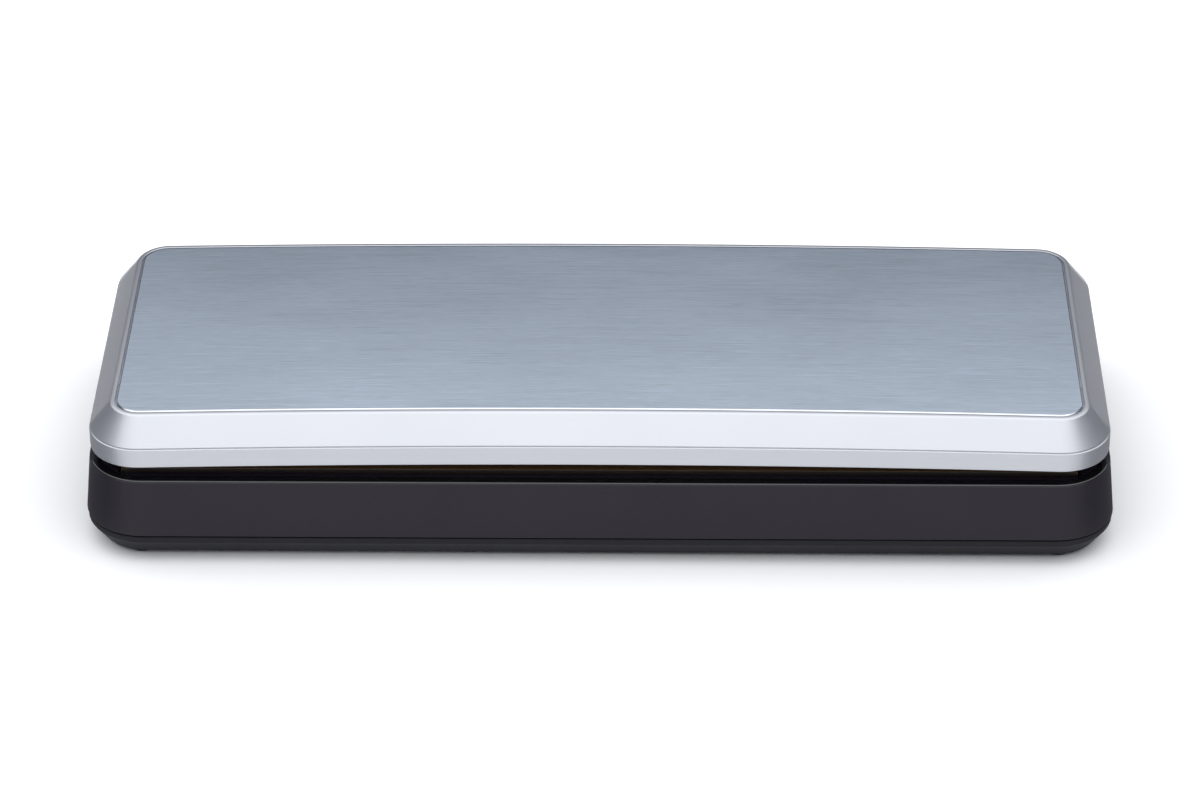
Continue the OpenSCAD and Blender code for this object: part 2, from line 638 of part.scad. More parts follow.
module valve_body() color([0.14, 0.14, 0.15]) difference() {
    union() {
        translate([valve_x, pump_y, floor_z])
            span([-valve_side / 2, -valve_side / 2, 0], [valve_side / 2, valve_side / 2, valve_h - cap_t]);
        along_y(valve_x, valve_nozzle_y - stub_l, pump_z, stub_r, stub_l + eps);
    }
    translate([valve_x, pump_y, floor_z + valve_floor]) cylinder(r = bore_r, h = valve_h);
    along_y(valve_x, valve_nozzle_y - stub_l - 1, pump_z, stub_bore_r, stub_l + valve_side / 2);
}

module valve_plunger() color([0.55, 0.56, 0.58]) translate([valve_x, pump_y, plunger_z])
    cylinder(r = plunger_r, h = plunger_l);

module valve_spring() color([0.70, 0.71, 0.73]) {
    h = spring_top - spring_z - 2 * spring_wire - 0.2;
    sweep([for (i = [0:spring_turns * 12]) let (a = 30 * i) [valve_x + 2.6 * cos(a),
        pump_y + 2.6 * sin(a), spring_z + spring_wire + 0.1 + h * i / (spring_turns * 12)]], spring_wire, 6);
}

module valve_cap() color([0.16, 0.16, 0.17]) translate([valve_x, pump_y, floor_z + valve_h - cap_t])
    span([-valve_side / 2, -valve_side / 2, 0], [valve_side / 2, valve_side / 2, cap_t]);

// ---- electrics ----

module power_board() color([0.10, 0.33, 0.18]) difference() {
    span([board_x, board_y, board_z], [board_x + board_l, board_y + board_w, board_top]);
    for (p = board_spots) translate([p.x, p.y, board_z - 1])
        cylinder(r = board_screw_r + fit, h = board_t + 2);
}

module transformer() color([0.75, 0.62, 0.30])
    translate([board_x + core_l + 14, board_y + board_w - 38, board_top]) {
        for (z = [0, core_h - core_t]) translate([-core_l / 2, -core_w / 2, z])
            cube([core_l, core_w, core_t]);
        translate([-core_l / 2 + winding_gap, -core_w / 2 + 2, core_t])
            cube([core_l - 2 * winding_gap, core_w - 4, core_h - 2 * core_t]);
    }

module capacitors() color([0.12, 0.14, 0.30]) translate([board_x + board_l, board_y + board_w, board_top]) {
    translate([-18, -38, 0]) cylinder(r = big_capacitor_r, h = big_capacitor_h);
    for (y = [-24, -14]) translate([-24, y, 0]) cylinder(r = small_capacitor_r, h = small_capacitor_h);
    translate([-12, -16, 0]) cylinder(r = small_capacitor_r + 1, h = small_capacitor_h);
}

module heat_sink() color([0.72, 0.73, 0.75])
    translate([board_x + 12, board_y + board_w - fin_l - 16, board_top]) {
        cube([5 * fin_pitch + sink_t, sink_t, sink_h]);
        for (i = [0:5]) translate([i * fin_pitch, sink_t - 0.1, 0]) cube([sink_t, fin_l, sink_h]);
    }

module control_board() color([0.10, 0.33, 0.18])
    span([panel_x, panel_y - panel_l / 2, button_z - panel_h / 2],
        [tact_x, panel_y + panel_l / 2, button_z + panel_h / 2]);

module tact_switches() color([0.25, 0.25, 0.26]) for (i = [-1:1])
    translate([tact_x, button_y + i * button_pitch, button_z]) difference() {
        span([0, -3, -3], [tact_t, 3, 3]);
        along_x(tact_t - 2.4, 0, 0, tact_bore_r, 3);
    }

module push_button(i) color([0.30, 0.31, 0.33]) {
    y = button_y + i * button_pitch;
    along_x(button_x - eps, y, button_z, button_r, wall_x(button_z) + 0.4 - button_x + eps);
    along_x(button_x - button_flange_t, y, button_z, flange_r, button_flange_t);
    along_x(tact_x + tact_t - 0.8, y, button_z, stem_r, button_x - button_flange_t - tact_x - tact_t + 0.9);
}

module indicator_lens() color([0.85, 0.92, 0.95])
    along_x(tact_x, lens_y, button_z, lens_r, wall_x(button_z) + 0.2 - tact_x);

module lid_switch() color([0.08, 0.08, 0.09]) difference() {
    translate([switch_x, switch_y, switch_top]) span([-switch_l / 2, -switch_w / 2, -switch_h],
        [switch_l / 2, switch_w / 2, 0]);
    translate([switch_x, switch_y, switch_top - 6]) cylinder(r = stem_r + 0.4, h = 7);
}

module lid_switch_pin() color([0.85, 0.85, 0.83]) translate([switch_x, switch_y, 0]) {
    collar_z = under_z - 0.3;
    translate([0, 0, collar_z - eps]) cylinder(r = button_pin_r, h = pin_top - collar_z + eps);
    translate([0, 0, collar_z - collar_t]) cylinder(r = collar_r, h = collar_t);
    translate([0, 0, switch_top - 3]) cylinder(r = stem_r, h = collar_z - collar_t - switch_top + 3 + eps);
}

module power_inlet() color([0.05, 0.05, 0.05]) translate([inlet_x, inlet_y, inlet_z]) difference() {
    span([-inlet_w / 2, -inlet_l, -inlet_h / 2], [inlet_w / 2, 0, inlet_h / 2]);
    for (s = [-1, 1]) along_y(s * inlet_lobe_r, -inlet_depth, 0, inlet_lobe_r, inlet_depth + 1);
    span([-inlet_lobe_r, -inlet_depth, -inlet_lobe_r], [inlet_lobe_r, 1, inlet_lobe_r]);
    for (s = [-1, 1]) along_y(s * inlet_lobe_r, -inlet_l - 1, 0, inlet_pin_r, inlet_l);
}

module inlet_pins() color([0.78, 0.78, 0.76]) for (s = [-1, 1])
    along_y(inlet_x + s * inlet_lobe_r, inlet_y - inlet_l - 3, inlet_z, inlet_pin_r, inlet_l);

module mains_leads() color([0.10, 0.25, 0.55]) for (s = [-1, 1]) {
    x = inlet_x + s * inlet_lobe_r;
    y = inlet_y - inlet_l - 3;
    x1 = board_x + board_l - 6;
    y1 = board_y + board_w - 16 - 4 * s;
    sweep(eased(eased([[x, y, inlet_z], [x, y - 7, inlet_z], [x - 8, y1 + 1, inlet_z],
        [x1, y1, board_top + 8], [x1, y1, board_top]])), 1.1);
}

module heater_leads() color([0.60, 0.10, 0.08]) for (s = [-1, 1]) {
    x = s * (bar_l / 2 + leg_gap / 2 - 2);
    z = under_z - bar_bed_t - 5;
    y0 = board_y + 8;
    x0 = board_x + 10 + 3 * s;
    sweep(eased(eased([[x0, y0, board_top], [x0, y0, board_top + 5],
        [x0, board_y - 8, floor_z + 7], [x0 + 6 * s, bar_y, floor_z + 3],
        [x - 12 * s, bar_y, floor_z + 3], [x, bar_y, floor_z + 4], [x, bar_y, z]])), 1);
}

module motor_leads() color([0.75, 0.70, 0.20]) for (s = [-1, 1]) {
    x = pump_x;
    y = pump_y + 8;
    z = pump_z + 2.5 * s;
    y1 = pump_y + 20;
    x1 = board_x + 12 + 2.5 * s;
    y2 = board_y + board_w - 8;
    sweep(eased(eased([[x, y, z], [x - 4 + 2 * s, y, z], [x - 6 + 2 * s, y1 - 4, floor_z + 6 + 2.5 * s],
        [x + 8, y1, floor_z + 4 + 1.5 * s], [board_x - 14, y1, floor_z + 4 + 1.5 * s],
        [x1, y1 - 2, board_top + 7 + 1.5 * s], [x1, y2, board_top + 4], [x1, y2, board_top]])), 0.7, 6);
}

module control_cable() color([0.80, 0.80, 0.80]) {
    x = board_x + board_l - 4;
    for (i = [0:3]) sweep(eased(eased([[panel_x, i * 1.4, button_z - 5], [panel_x - 6, i * 1.4, button_z - 5],
        [x + 14, i * 1.4, board_top + 6], [x, i * 1.4, board_top + 5], [x, i * 1.4, board_top]])), 0.6, 6);
}

// ---- lid ----

module lid_solid(levels) loft([for (l = levels)
    ring(lid_w - 2 * l[0], lid_d - 2 * l[0], lid_r - l[0], l[1], 1)]);

module lid_frame() color([0.76, 0.77, 0.79]) ajar() difference() {
    union() {
        difference() {
            lid_solid([[0, lid_z], [0, band_z], [bevel_run, rim_z]]);
            lid_solid([[lid_wall, lid_z - 1], [lid_wall, band_z + lid_wall * bevel_slope - bevel_shift],
                [inner_run, lid_top_z]]);
        }
        for (p = lid_spots) translate([p.x, p.y, liner_z + liner_t])
            cylinder(r = lid_boss_r, h = lid_top_z + rise(p.x, p.y) + lid_top_t / 2 - liner_z - liner_t);
    }
    lid_solid([[recess_inset, rim_z - plate_t - film_t], [recess_inset, rim_z + 1]]);
    span([-base_w, notch_y, lid_z - 5], [base_w, rear_y + 5, band_z - notch_lip]);
    for (p = lid_spots) translate([p.x, p.y, liner_z]) cylinder(r = lid_bore_r, h = liner_t + 5.5);
}

module lid_plate() color([0.62, 0.66, 0.72]) ajar() lid_solid([[plate_inset, rim_z - plate_t],
    [plate_inset, rim_z - plate_chamfer], [plate_inset + plate_chamfer, rim_z]]);

module lid_liner() color([0.11, 0.11, 0.12]) ajar() difference() {
    g = lid_wall + liner_gap;
    union() {
        intersection() {
            round_box(lid_w - 2 * g, lid_d - 2 * g, lid_r - g, liner_z, liner_t);
            span([-base_w, front_y, liner_z - 1], [base_w, liner_rear_y, liner_z + liner_t + 1]);
        }
        for (s = [-1, 1]) {
            along_x(s * knuckle_x - knuckle_w / 2, hinge_y, hinge_z, hinge_r - 0.2, knuckle_w);
            span([s * knuckle_x - knuckle_w / 2, liner_rear_y - 4, liner_z],
                [s * knuckle_x + knuckle_w / 2, hinge_y, liner_z + liner_t + 1]);
        }
    }
    for (s = [-1, 1]) along_x(s * knuckle_x - knuckle_w, hinge_y, hinge_z, pin_r + pin_play, 2 * knuckle_w);
    seal_ring(liner_z - 1, gasket_seat + 1);
    translate([0, ring_y, 0]) round_box(channel_l, channel_w, channel_r, liner_z - 1, 2);
    span([-bar_l / 2 - fit, bar_y - bar_w / 2 - fit, liner_z - 1],
        [bar_l / 2 + fit, bar_y + bar_w / 2 + fit, liner_z + liner_t / 2]);
    for (p = lid_spots) translate([p.x, p.y, liner_z - 1]) {
        cylinder(r = lid_bore_r + 0.3, h = liner_t + 2);
        cylinder(r = lid_head_r + fit, h = 2.6);
    }
}

module upper_gasket() color([0.22, 0.22, 0.23]) ajar()
    seal_ring(deck_z + gasket_proud + gasket_gap, liner_lift + gasket_seat - gasket_proud - gasket_gap);

module pressure_strip() color([0.30, 0.30, 0.31]) ajar() span(
    [-bar_l / 2, bar_y - bar_w / 2, deck_z + bar_proud + tape_t + press_gap],
    [bar_l / 2, bar_y + bar_w / 2, liner_z + liner_t / 2]);

module lid_screws() color([0.6, 0.6, 0.62]) ajar()
    for (p = lid_spots) screw(p.x, p.y, liner_z + 1.6, lid_bore_r, lid_head_r, lid_head_h,
        liner_t + 3);

base_housing();
bottom_tray();
foot(-1, -1);  // foot_front_left
foot(1, -1);  // foot_front_right
foot(-1, 1);  // foot_rear_left
foot(1, 1);  // foot_rear_right
case_screws();
vacuum_channel();
lower_gasket();
sealing_bar();
heating_strip();
slip_tape();
strip_terminals();
hinge_rail();
hinge_pin(-1);  // hinge_pin_left
hinge_pin(1);  // hinge_pin_right
pump_cradle();
pump_motor_can();
motor_end_cap();
pump_rotor();
pump_head();
pump_diaphragm();
hose(nozzle_x, port_y + 0.5, pump_nozzle_y - 0.5);  // pump_hose
hose(valve_x, port_y + 0.5, valve_nozzle_y - 0.5);  // valve_hose
valve_body();
valve_plunger();
valve_spring();
valve_cap();
power_board();
transformer();
capacitors();
heat_sink();
control_board();
tact_switches();
push_button(-1);  // start_button
push_button(0);  // seal_button
push_button(1);  // stop_button
indicator_lens();
lid_switch();
lid_switch_pin();
power_inlet();
inlet_pins();
mains_leads();
heater_leads();
motor_leads();
control_cable();
lid_frame();
lid_plate();
lid_liner();
upper_gasket();
pressure_strip();
lid_screws();
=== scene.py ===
# %% [markdown]
# # Dressing a vacuum sealer
# A household vacuum sealer is a long, low box: a black moulded base and a silver lid with a brushed metal
# plate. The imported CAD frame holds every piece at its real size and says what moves. This lesson gives each
# part a finish and models the outer shells again, with the small rounded edges that catch light. A model drawn
# by eye would drift away from the hinge and the screws, so every size is tied to the frame.

# %% Open the frame
import json
import math
import bmesh
import bpy
from mathutils import Matrix, Vector


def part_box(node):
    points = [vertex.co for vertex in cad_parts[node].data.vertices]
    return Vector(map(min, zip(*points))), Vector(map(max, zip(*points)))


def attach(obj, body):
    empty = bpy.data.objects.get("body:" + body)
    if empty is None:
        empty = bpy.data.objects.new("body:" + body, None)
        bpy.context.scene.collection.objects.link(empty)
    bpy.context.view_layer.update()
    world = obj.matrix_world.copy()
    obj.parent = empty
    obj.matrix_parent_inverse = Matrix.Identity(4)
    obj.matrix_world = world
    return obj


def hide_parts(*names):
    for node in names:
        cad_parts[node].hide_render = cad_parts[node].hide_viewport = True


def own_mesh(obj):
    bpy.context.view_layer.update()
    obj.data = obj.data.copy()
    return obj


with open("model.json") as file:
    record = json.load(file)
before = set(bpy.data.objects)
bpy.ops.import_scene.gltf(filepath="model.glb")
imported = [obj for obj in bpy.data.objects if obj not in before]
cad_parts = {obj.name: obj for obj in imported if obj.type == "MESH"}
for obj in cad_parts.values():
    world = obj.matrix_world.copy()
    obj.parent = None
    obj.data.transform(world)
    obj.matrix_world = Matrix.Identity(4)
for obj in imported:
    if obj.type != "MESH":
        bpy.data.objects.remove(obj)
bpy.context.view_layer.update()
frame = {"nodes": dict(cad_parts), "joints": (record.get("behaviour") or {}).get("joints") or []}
nodes = frame["nodes"]
joints = {joint["name"]: joint for joint in frame["joints"]}
print("pieces in the frame:", len(nodes), "moving joints:", len(joints))

# %% [markdown]
# ## Sizes in one place
# The frame gives a box round each piece, which settles the big sizes. Profiles, such as the slope of the
# lid's border, can't be read from a box, so they are named here, where one line changes them.

# %% Sizes
MM = 0.001
base_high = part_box("base_housing")[1]
deck_z = base_high.z
seam_z = 11.3 * MM
wall_draft = 2.2 * MM
half_w = base_high.x - wall_draft
half_d = base_high.y - wall_draft
corner_r = 19.6 * MM
wall_t = 2.4 * MM
deck_t = 2.4 * MM

lid_gap = 1.8 * MM
lid_inset = 0.6 * MM
band_h = 7.4 * MM
bevel_h = 9.7 * MM
bevel_run = 8.0 * MM
rim_w = 1.6 * MM
lid_wall = 2.2 * MM
plate_t = 1.0 * MM
plate_gap = 0.35 * MM
plate_bed = 0.1 * MM
lid_z = deck_z + lid_gap
band_z = lid_z + band_h
rim_z = band_z + bevel_h
ceiling_z = rim_z - plate_t - plate_bed - 2.0 * MM
crown_front = 2.6 * MM
crown_rear = 2.0 * MM
print("deck, lid band and rim, mm:", [round(v / MM, 1) for v in (deck_z, lid_z, band_z, rim_z)])

# %% [markdown]
# ## The camera
# The machine is seen from the front and well above, from far away with a long lens, so its sides hardly
# converge. An aim point, a distance and three angles are easier to adjust than a bare position.

# %% Camera
def placed(name, data):
    """Puts a mesh, a lamp or a camera into the scene."""
    piece = bpy.data.objects.new(name, data)
    bpy.context.scene.collection.objects.link(piece)
    return piece


lens_mm = 135.0
aim = Vector((-0.43, 0.0, 23.83)) * MM
camera_distance = 1633.2 * MM
pitch, yaw, roll = map(math.radians, (33.006, -0.908, -0.245))

camera = placed("camera", bpy.data.cameras.new("camera"))
camera.data.lens = lens_mm
forward = Vector((math.sin(yaw) * math.cos(pitch), math.cos(yaw) * math.cos(pitch), -math.sin(pitch)))
turn = forward.to_track_quat("-Z", "Y").to_matrix().to_4x4() @ Matrix.Rotation(roll, 4, "Z")
camera.matrix_world = Matrix.Translation(aim - forward * camera_distance) @ turn
camera.data.clip_end = 50.0
bpy.context.scene.camera = camera
bpy.context.scene.view_settings.view_transform = "Standard"
print("camera at, m:", [round(v, 3) for v in camera.matrix_world.translation])

# %% [markdown]
# ## Outlines and profiles
# Seen from above, the tray, the base and the lid share one outline: a rectangle with round corners. Seen from
# the side, each has its own profile. So a shell is a loft: the outline is repeated at each point of the
# profile and the rings are joined. Unlike a bevelled cube, each edge can have its own radius.

# %% Helpers for outlines and profiles
def rounded_outline(half_x, half_y, corner, height, middle=(0.0, 0.0), spans=36, steps=12):
    """One level ring, front row left to right, then rear row right to left."""
    row = [(-half_x + corner * (1 - math.cos(a)), half_y - corner * (1 - math.sin(a)))
           for a in (math.pi / 2 * i / steps for i in range(steps + 1))]
    row += [((half_x - corner) * (2 * i / spans - 1), half_y) for i in range(1, spans)]
    row += [(-x, y) for x, y in reversed(row[:steps + 1])]
    ring = [(x, -y) for x, y in row] + row[::-1]
    return [Vector((middle[0] + x, middle[1] + y, height)) for x, y in ring]


def eased(corners, steps=5, closed=False):
    """Rounds a side profile. Each corner is (inset, height, radius), in metres."""
    points, last = [], len(corners) - 1
    for k, (inset, height, radius) in enumerate(corners):
        here = Vector((inset, height))
        if radius == 0 or (not closed and k in (0, last)):
            points.append(here)
            continue
        before = (Vector(corners[k - 1][:2]) - here).normalized()
        after = (Vector(corners[(k + 1) % len(corners)][:2]) - here).normalized()
        half = before.angle(after) / 2
        centre = here + (before + after).normalized() * (radius / math.sin(half))
        first, final = (here + side * (radius / math.tan(half)) - centre for side in (before, after))
        points += [centre + first.slerp(final, s / steps) * radius for s in range(steps + 1)]
    return points


print("points in one outline:", len(rounded_outline(half_w, half_d, corner_r, 0.0)))

# %% [markdown]
# ## From rings to a mesh
# The rings become one closed mesh. The two open ends are filled with strips of four-sided faces, because a
# single many-sided face would shade badly on the lid's arched top. A closed profile, as for a gasket, has no
# ends to fill.

# %% Helper that lofts rings
def skin(rings, loop=False):
    """The faces between each ring of points and the next. With loop, the last joins the first."""
    count, faces = len(rings[0]), []
    for k in range(len(rings) if loop else len(rings) - 1):
        low, high = k * count, (k + 1) % len(rings) * count
        faces += [(low + i, low + (i + 1) % count, high + (i + 1) % count, high + i) for i in range(count)]
    return faces


def meshed(name, rings, faces):
    """A mesh object from rings of points and their faces."""
    mesh = bpy.data.meshes.new(name)
    mesh.from_pydata([point for ring in rings for point in ring], [], faces)
    mesh.update()
    return placed(name, mesh)


def loft(name, rings, loop=False):
    """A closed mesh through the rings, with its ends filled."""
    faces, count, top = skin(rings, loop), len(rings[0]), (len(rings) - 1) * len(rings[0])
    for i in range(0 if loop else count // 2 - 1):
        faces += [(i, count - 1 - i, count - 2 - i, i + 1),
                  (top + i, top + i + 1, top + count - 2 - i, top + count - 1 - i)]
    return meshed(name, rings, faces)


# %% [markdown]
# ## Turned and drawn shapes
# Buttons, feet and bosses are round, so they are turned: a profile of radii is spun about an axis. The tape
# and the silicone strip are long, so they are drawn from section to section. Ready-made cylinders and boxes
# would lack the domes, dishes and rounded rims.

# %% Helpers for turned and drawn shapes
def turned(name, profile, base, axis="Z", sides=48):
    """Spins (radius, distance along the axis) about an axis through base."""
    turn_to = {"X": Matrix.Rotation(math.pi / 2, 4, "Y"), "Z": Matrix.Identity(4)}[axis]
    rings = [[(r * math.cos(a), r * math.sin(a), h) for a in (2 * math.pi * k / sides for k in range(sides))]
             for r, h in profile]
    top = (len(rings) - 1) * sides
    piece = meshed(name, rings, [*skin(rings), tuple(reversed(range(sides))), tuple(range(top, top + sides))])
    piece.data.transform(Matrix.Translation(base) @ turn_to)
    return piece


def drawn(name, sections):
    """A closed mesh through sections with the same number of points."""
    count, last = len(sections[0]), (len(sections) - 1) * len(sections[0])
    ends = [tuple(reversed(range(count))), tuple(range(last, last + count))]
    piece = meshed(name, sections, ends + skin(sections))
    shape = bmesh.new()
    shape.from_mesh(piece.data)
    bmesh.ops.recalc_face_normals(shape, faces=shape.faces)
    shape.to_mesh(piece.data)
    shape.free()
    return piece


def block(x, y, z):
    """A plain box from its limits along x, y and z."""
    return drawn("block", [[Vector((at, y[i], z[j])) for i, j in ((0, 0), (1, 0), (1, 1), (0, 1))] for at in x])


def about(middle, half):
    """The limits half a width to each side of a middle."""
    return middle - half, middle + half


def posts(radius, low, height, spots, sides=48):
    """Upright round posts, one at each (x, y)."""
    return [turned("post", [(radius, 0), (radius, height)], (x, y, low), sides=sides) for x, y in spots]


def centre_of(name):
    """The middle of a CAD piece's box."""
    low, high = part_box(name)
    return (low + high) / 2


# %% [markdown]
# ## Adding and cutting
# Slots, screw holes and bosses are easiest as booleans: a second solid is added to the shell or cut out of
# it. The result is written into the mesh, so only the finished shell is left.

# %% Helper that adds and cuts
def worked(piece, added=(), cut=()):
    """Adds and then cuts the given solids, and keeps only the result."""
    for tool, way in [(t, "UNION") for t in added] + [(t, "DIFFERENCE") for t in cut]:
        step = piece.modifiers.new(way.lower(), "BOOLEAN")
        step.operation, step.solver, step.object = way, "EXACT", tool
    graph = bpy.context.evaluated_depsgraph_get()
    result = bpy.data.meshes.new_from_object(piece.evaluated_get(graph))
    piece.modifiers.clear()
    piece.data = result
    for tool in (*added, *cut):
        bpy.data.objects.remove(tool)


# %% [markdown]
# ## Ajar and fitted
# The lid rests slightly open on its gaskets. Its pieces are easier to draw level, so they are drawn shut and
# then turned about the hinge by the joint's own angle. Each finished piece gets its shading, its material, the
# body it moves with and the CAD piece it stands for.

# %% Helpers that turn the lid and fit a piece
hinge = joints["lid_hinge"]
hinge_at = Vector(hinge["pos_m"])
rest_gap = math.radians(hinge["range_deg"][0])
ajar = (Matrix.Translation(hinge_at) @ Matrix.Rotation(-rest_gap, 4, Vector(hinge["axis"]))
        @ Matrix.Translation(-hinge_at))


def fitted(piece, finish, body, stands_for, crease=35):
    """Smooths the piece, gives it its finish and ties it to the frame."""
    piece.data.materials.clear()
    piece.data.materials.append(finish)
    piece.data.shade_smooth()
    piece.data.set_sharp_from_angle(angle=math.radians(crease))
    piece.modifiers.new("even shading", "WEIGHTED_NORMAL").keep_sharp = True
    if body == "lid":
        piece.data.transform(ajar)
    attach(piece, body)
    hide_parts(stands_for)
    low, high = (Vector(pick(v.co[i] for v in piece.data.vertices) for i in range(3)) for pick in (min, max))
    print(f"{piece.name}: {len(piece.data.polygons)} faces, {[round(v / MM, 1) for v in high - low]} mm")


print("the lid rests open by %.1f degrees" % abs(hinge["range_deg"][0]))

# %% [markdown]
# ## How a finish is put together
# A finish is a shader plus the fine texture of the real surface: grain, brushing, pores or turning marks.
# Noise in the object's own metres keeps its true scale on every piece and, unlike an image, needs no
# unwrapping. The helpers make a shader, a noise, a tint, a roughness that varies, and a bump.

# %% Helpers for finishes
def finish(name, colour, roughness, metallic=0.0, **extra):
    """Makes a material. Returns it with the functions that add and link its nodes."""
    material = bpy.data.materials.new(name)
    material.use_nodes = True
    tree = material.node_tree
    shader = tree.nodes["Principled BSDF"]
    given = {"Base Color": (*colour, 1.0), "Roughness": roughness, "Metallic": metallic, **extra}
    for socket, value in given.items():
        shader.inputs[socket.replace("_", " ")].default_value = value

    def add(kind, links=None, **settings):
        node = tree.nodes.new("ShaderNode" + kind)
        for key, value in settings.items():
            setattr(node, key, value)
        for socket, value in (links or {}).items():
            if isinstance(value, bpy.types.NodeSocket):
                tree.links.new(value, node.inputs[socket])
            else:
                node.inputs[socket].default_value = value
        return node

    def link(socket, value):
        tree.links.new(value, shader.inputs[socket])

    return material, add, link


def noise(add, per_metre, detail=3.0, rough=0.5):
    """Noise that repeats so many times per metre along x, y and z."""
    place = add("TexCoord").outputs["Object"]
    scaled = add("Mapping", {"Vector": place, "Scale": per_metre}).outputs["Vector"]
    return add("TexNoise", {"Vector": scaled, "Scale": 1.0, "Detail": detail, "Roughness": rough}).outputs["Fac"]


def spread(add, value, low, high, start=0.3, end=0.7):
    """Maps noise, which stays near 0.5, to a range of numbers."""
    limits = {"From Min": start, "From Max": end, "To Min": low, "To Max": high}
    return add("MapRange", {"Value": value, **limits}).outputs["Result"]


def tint(add, value, dark, light, start=0.3, end=0.7):
    """Two colours mixed by a noise."""
    ramp = add("ValToRGB", {"Fac": value})
    for stop, position, colour in zip(ramp.color_ramp.elements, (start, end), (dark, light)):
        stop.position, stop.color = position, (*colour, 1.0)
    return ramp.outputs["Color"]


def bump(add, height, depth, strength=1.0, under=None):
    """A bump of that depth in metres from a height between 0 and 1."""
    below = {} if under is None else {"Normal": under}
    return add("Bump", {"Height": height, "Distance": depth, "Strength": strength, **below}).outputs["Normal"]


def combined(add, operation, a, b):
    """One sum on two values."""
    return add("Math", {0: a, 1: b}, operation=operation).outputs["Value"]


def shade(colour, factor):
    """The same colour, lighter or darker."""
    return tuple(c * factor for c in colour)


print("finish helpers ready")

# %% [markdown]
# ## Silver lacquer
# The lid's frame is plastic sprayed with a silver lacquer: tiny aluminium flakes under a clear coat. A
# metallic shader with a soft roughness gives the colour, fine noise breaks up its reflection like flakes, and
# the coat adds sharp glints. Plain grey plastic would look dull, and bare metal too sharp.

# %% Silver lacquer
silver = (0.505, 0.517, 0.547)
silver_lacquer, add, link = finish("silver lacquer", silver, 0.39, 0.90, Coat_Weight=0.35, Coat_Roughness=0.07)
flakes = noise(add, (9000, 9000, 9000), 2.0, 0.6)
drift = noise(add, (14, 14, 14), 2.0)
link("Base Color", tint(add, flakes, shade(silver, 0.955), shade(silver, 1.035)))
link("Roughness", spread(add, drift, 0.375, 0.410))
link("Normal", bump(add, flakes, 0.000004, 0.5))
print("silver lacquer, base colour:", silver)

# %% [markdown]
# ## Brushed plate
# The panel in the lid is sheet metal brushed from side to side. Its scratches are long and very thin, so light
# spreads across them far more than along them. Stretched noise draws them, and an anisotropic shader spreads
# the reflection. Bump alone would need far more detail than the picture has.

# %% Brushed plate
plate_metal = (0.498, 0.562, 0.646)
brushed_plate, add, link = finish("brushed plate", plate_metal, 0.325, 1.0, Anisotropic=0.75)
long_scratches = noise(add, (32, 3800, 900), 3.0, 0.6)
short_scratches = noise(add, (150, 7600, 900), 2.0, 0.6)
clouds = noise(add, (16, 34, 16))
scratches = combined(add, "ADD", long_scratches, short_scratches)
mixed = combined(add, "MULTIPLY", scratches, 0.5)
scratched = tint(add, mixed, shade(plate_metal, 0.80), shade(plate_metal, 1.18), 0.36, 0.64)
clouded = tint(add, clouds, (0.955, 0.955, 0.955), (1.0, 1.0, 1.0))
link("Base Color", add("Mix", {0: 1.0, 6: scratched, 7: clouded}, data_type="RGBA", blend_type="MULTIPLY").outputs[2])
link("Roughness", spread(add, clouds, 0.317, 0.333))
link("Tangent", add("Tangent", direction_type="UV_MAP", uv_map="across brushing").outputs["Tangent"])
link("Normal", bump(add, mixed, 0.000010, 0.6))
print("brushed plate, base colour:", plate_metal)

# %% [markdown]
# ## Moulded plastics and rubber
# The base is black plastic with a fine spark-eroded grain, made here as a shallow bump. A slow noise in the
# roughness stops the large walls from looking like flat paint. The rubber feet are duller, and the foam of
# the seals has open pores.

# %% Black plastics, rubber and foam
def grained_plastic(name, colour, roughness, grain_per_metre, depth, **extra):
    """A moulded plastic with an even grain and a slow change of gloss."""
    material, add, link = finish(name, colour, roughness, **extra)
    grain = noise(add, (grain_per_metre,) * 3, 3.0, 0.6)
    slow = noise(add, (30, 30, 30), 2.0)
    link("Base Color", tint(add, grain, shade(colour, 0.82), shade(colour, 1.18)))
    link("Roughness", spread(add, slow, roughness - 0.035, roughness + 0.035))
    link("Normal", bump(add, grain, depth, 0.6))
    return material


black_satin = grained_plastic("black satin plastic", (0.0118, 0.0092, 0.0158), 0.48, 2600, 0.000012,
                              Specular_IOR_Level=0.30)
black_matte = grained_plastic("black matte plastic", (0.0165, 0.0163, 0.0200), 0.58, 1900, 0.000015,
                              Specular_IOR_Level=0.15)
liner_plastic = grained_plastic("liner plastic", (0.017, 0.017, 0.019), 0.42, 2200, 0.000015)
black_rubber = grained_plastic("black rubber", (0.012, 0.012, 0.012), 0.68, 1500, 0.000025)
white_plastic = grained_plastic("white plastic", (0.66, 0.66, 0.63), 0.42, 1800, 0.000008)
grey_plastic = grained_plastic("grey button plastic", (0.085, 0.088, 0.095), 0.38, 2200, 0.000010)
bakelite = grained_plastic("bakelite", (0.022, 0.017, 0.013), 0.40, 900, 0.000015)

seal_foam, add, link = finish("closed-cell foam", (0.035, 0.035, 0.037), 0.82)
place = add("TexCoord").outputs["Object"]
cells = add("TexVoronoi", {"Vector": place, "Scale": 1700.0}, feature="F1").outputs["Distance"]
surface = noise(add, (600, 600, 600))
link("Base Color", tint(add, cells, (0.022, 0.022, 0.024), (0.050, 0.050, 0.053), 0.1, 0.8))
link("Normal", bump(add, cells, 0.00010, 0.6, bump(add, surface, 0.00012, 0.5)))
print("plastics, rubber and foam ready")

# %% [markdown]
# ## Sealing strip finishes
# The heating strip is covered by glass cloth with a brown non-stick coating. Its weave is a fine grid, made
# from two sets of waves at right angles. The strip that presses the bag down is dull silicone rubber.

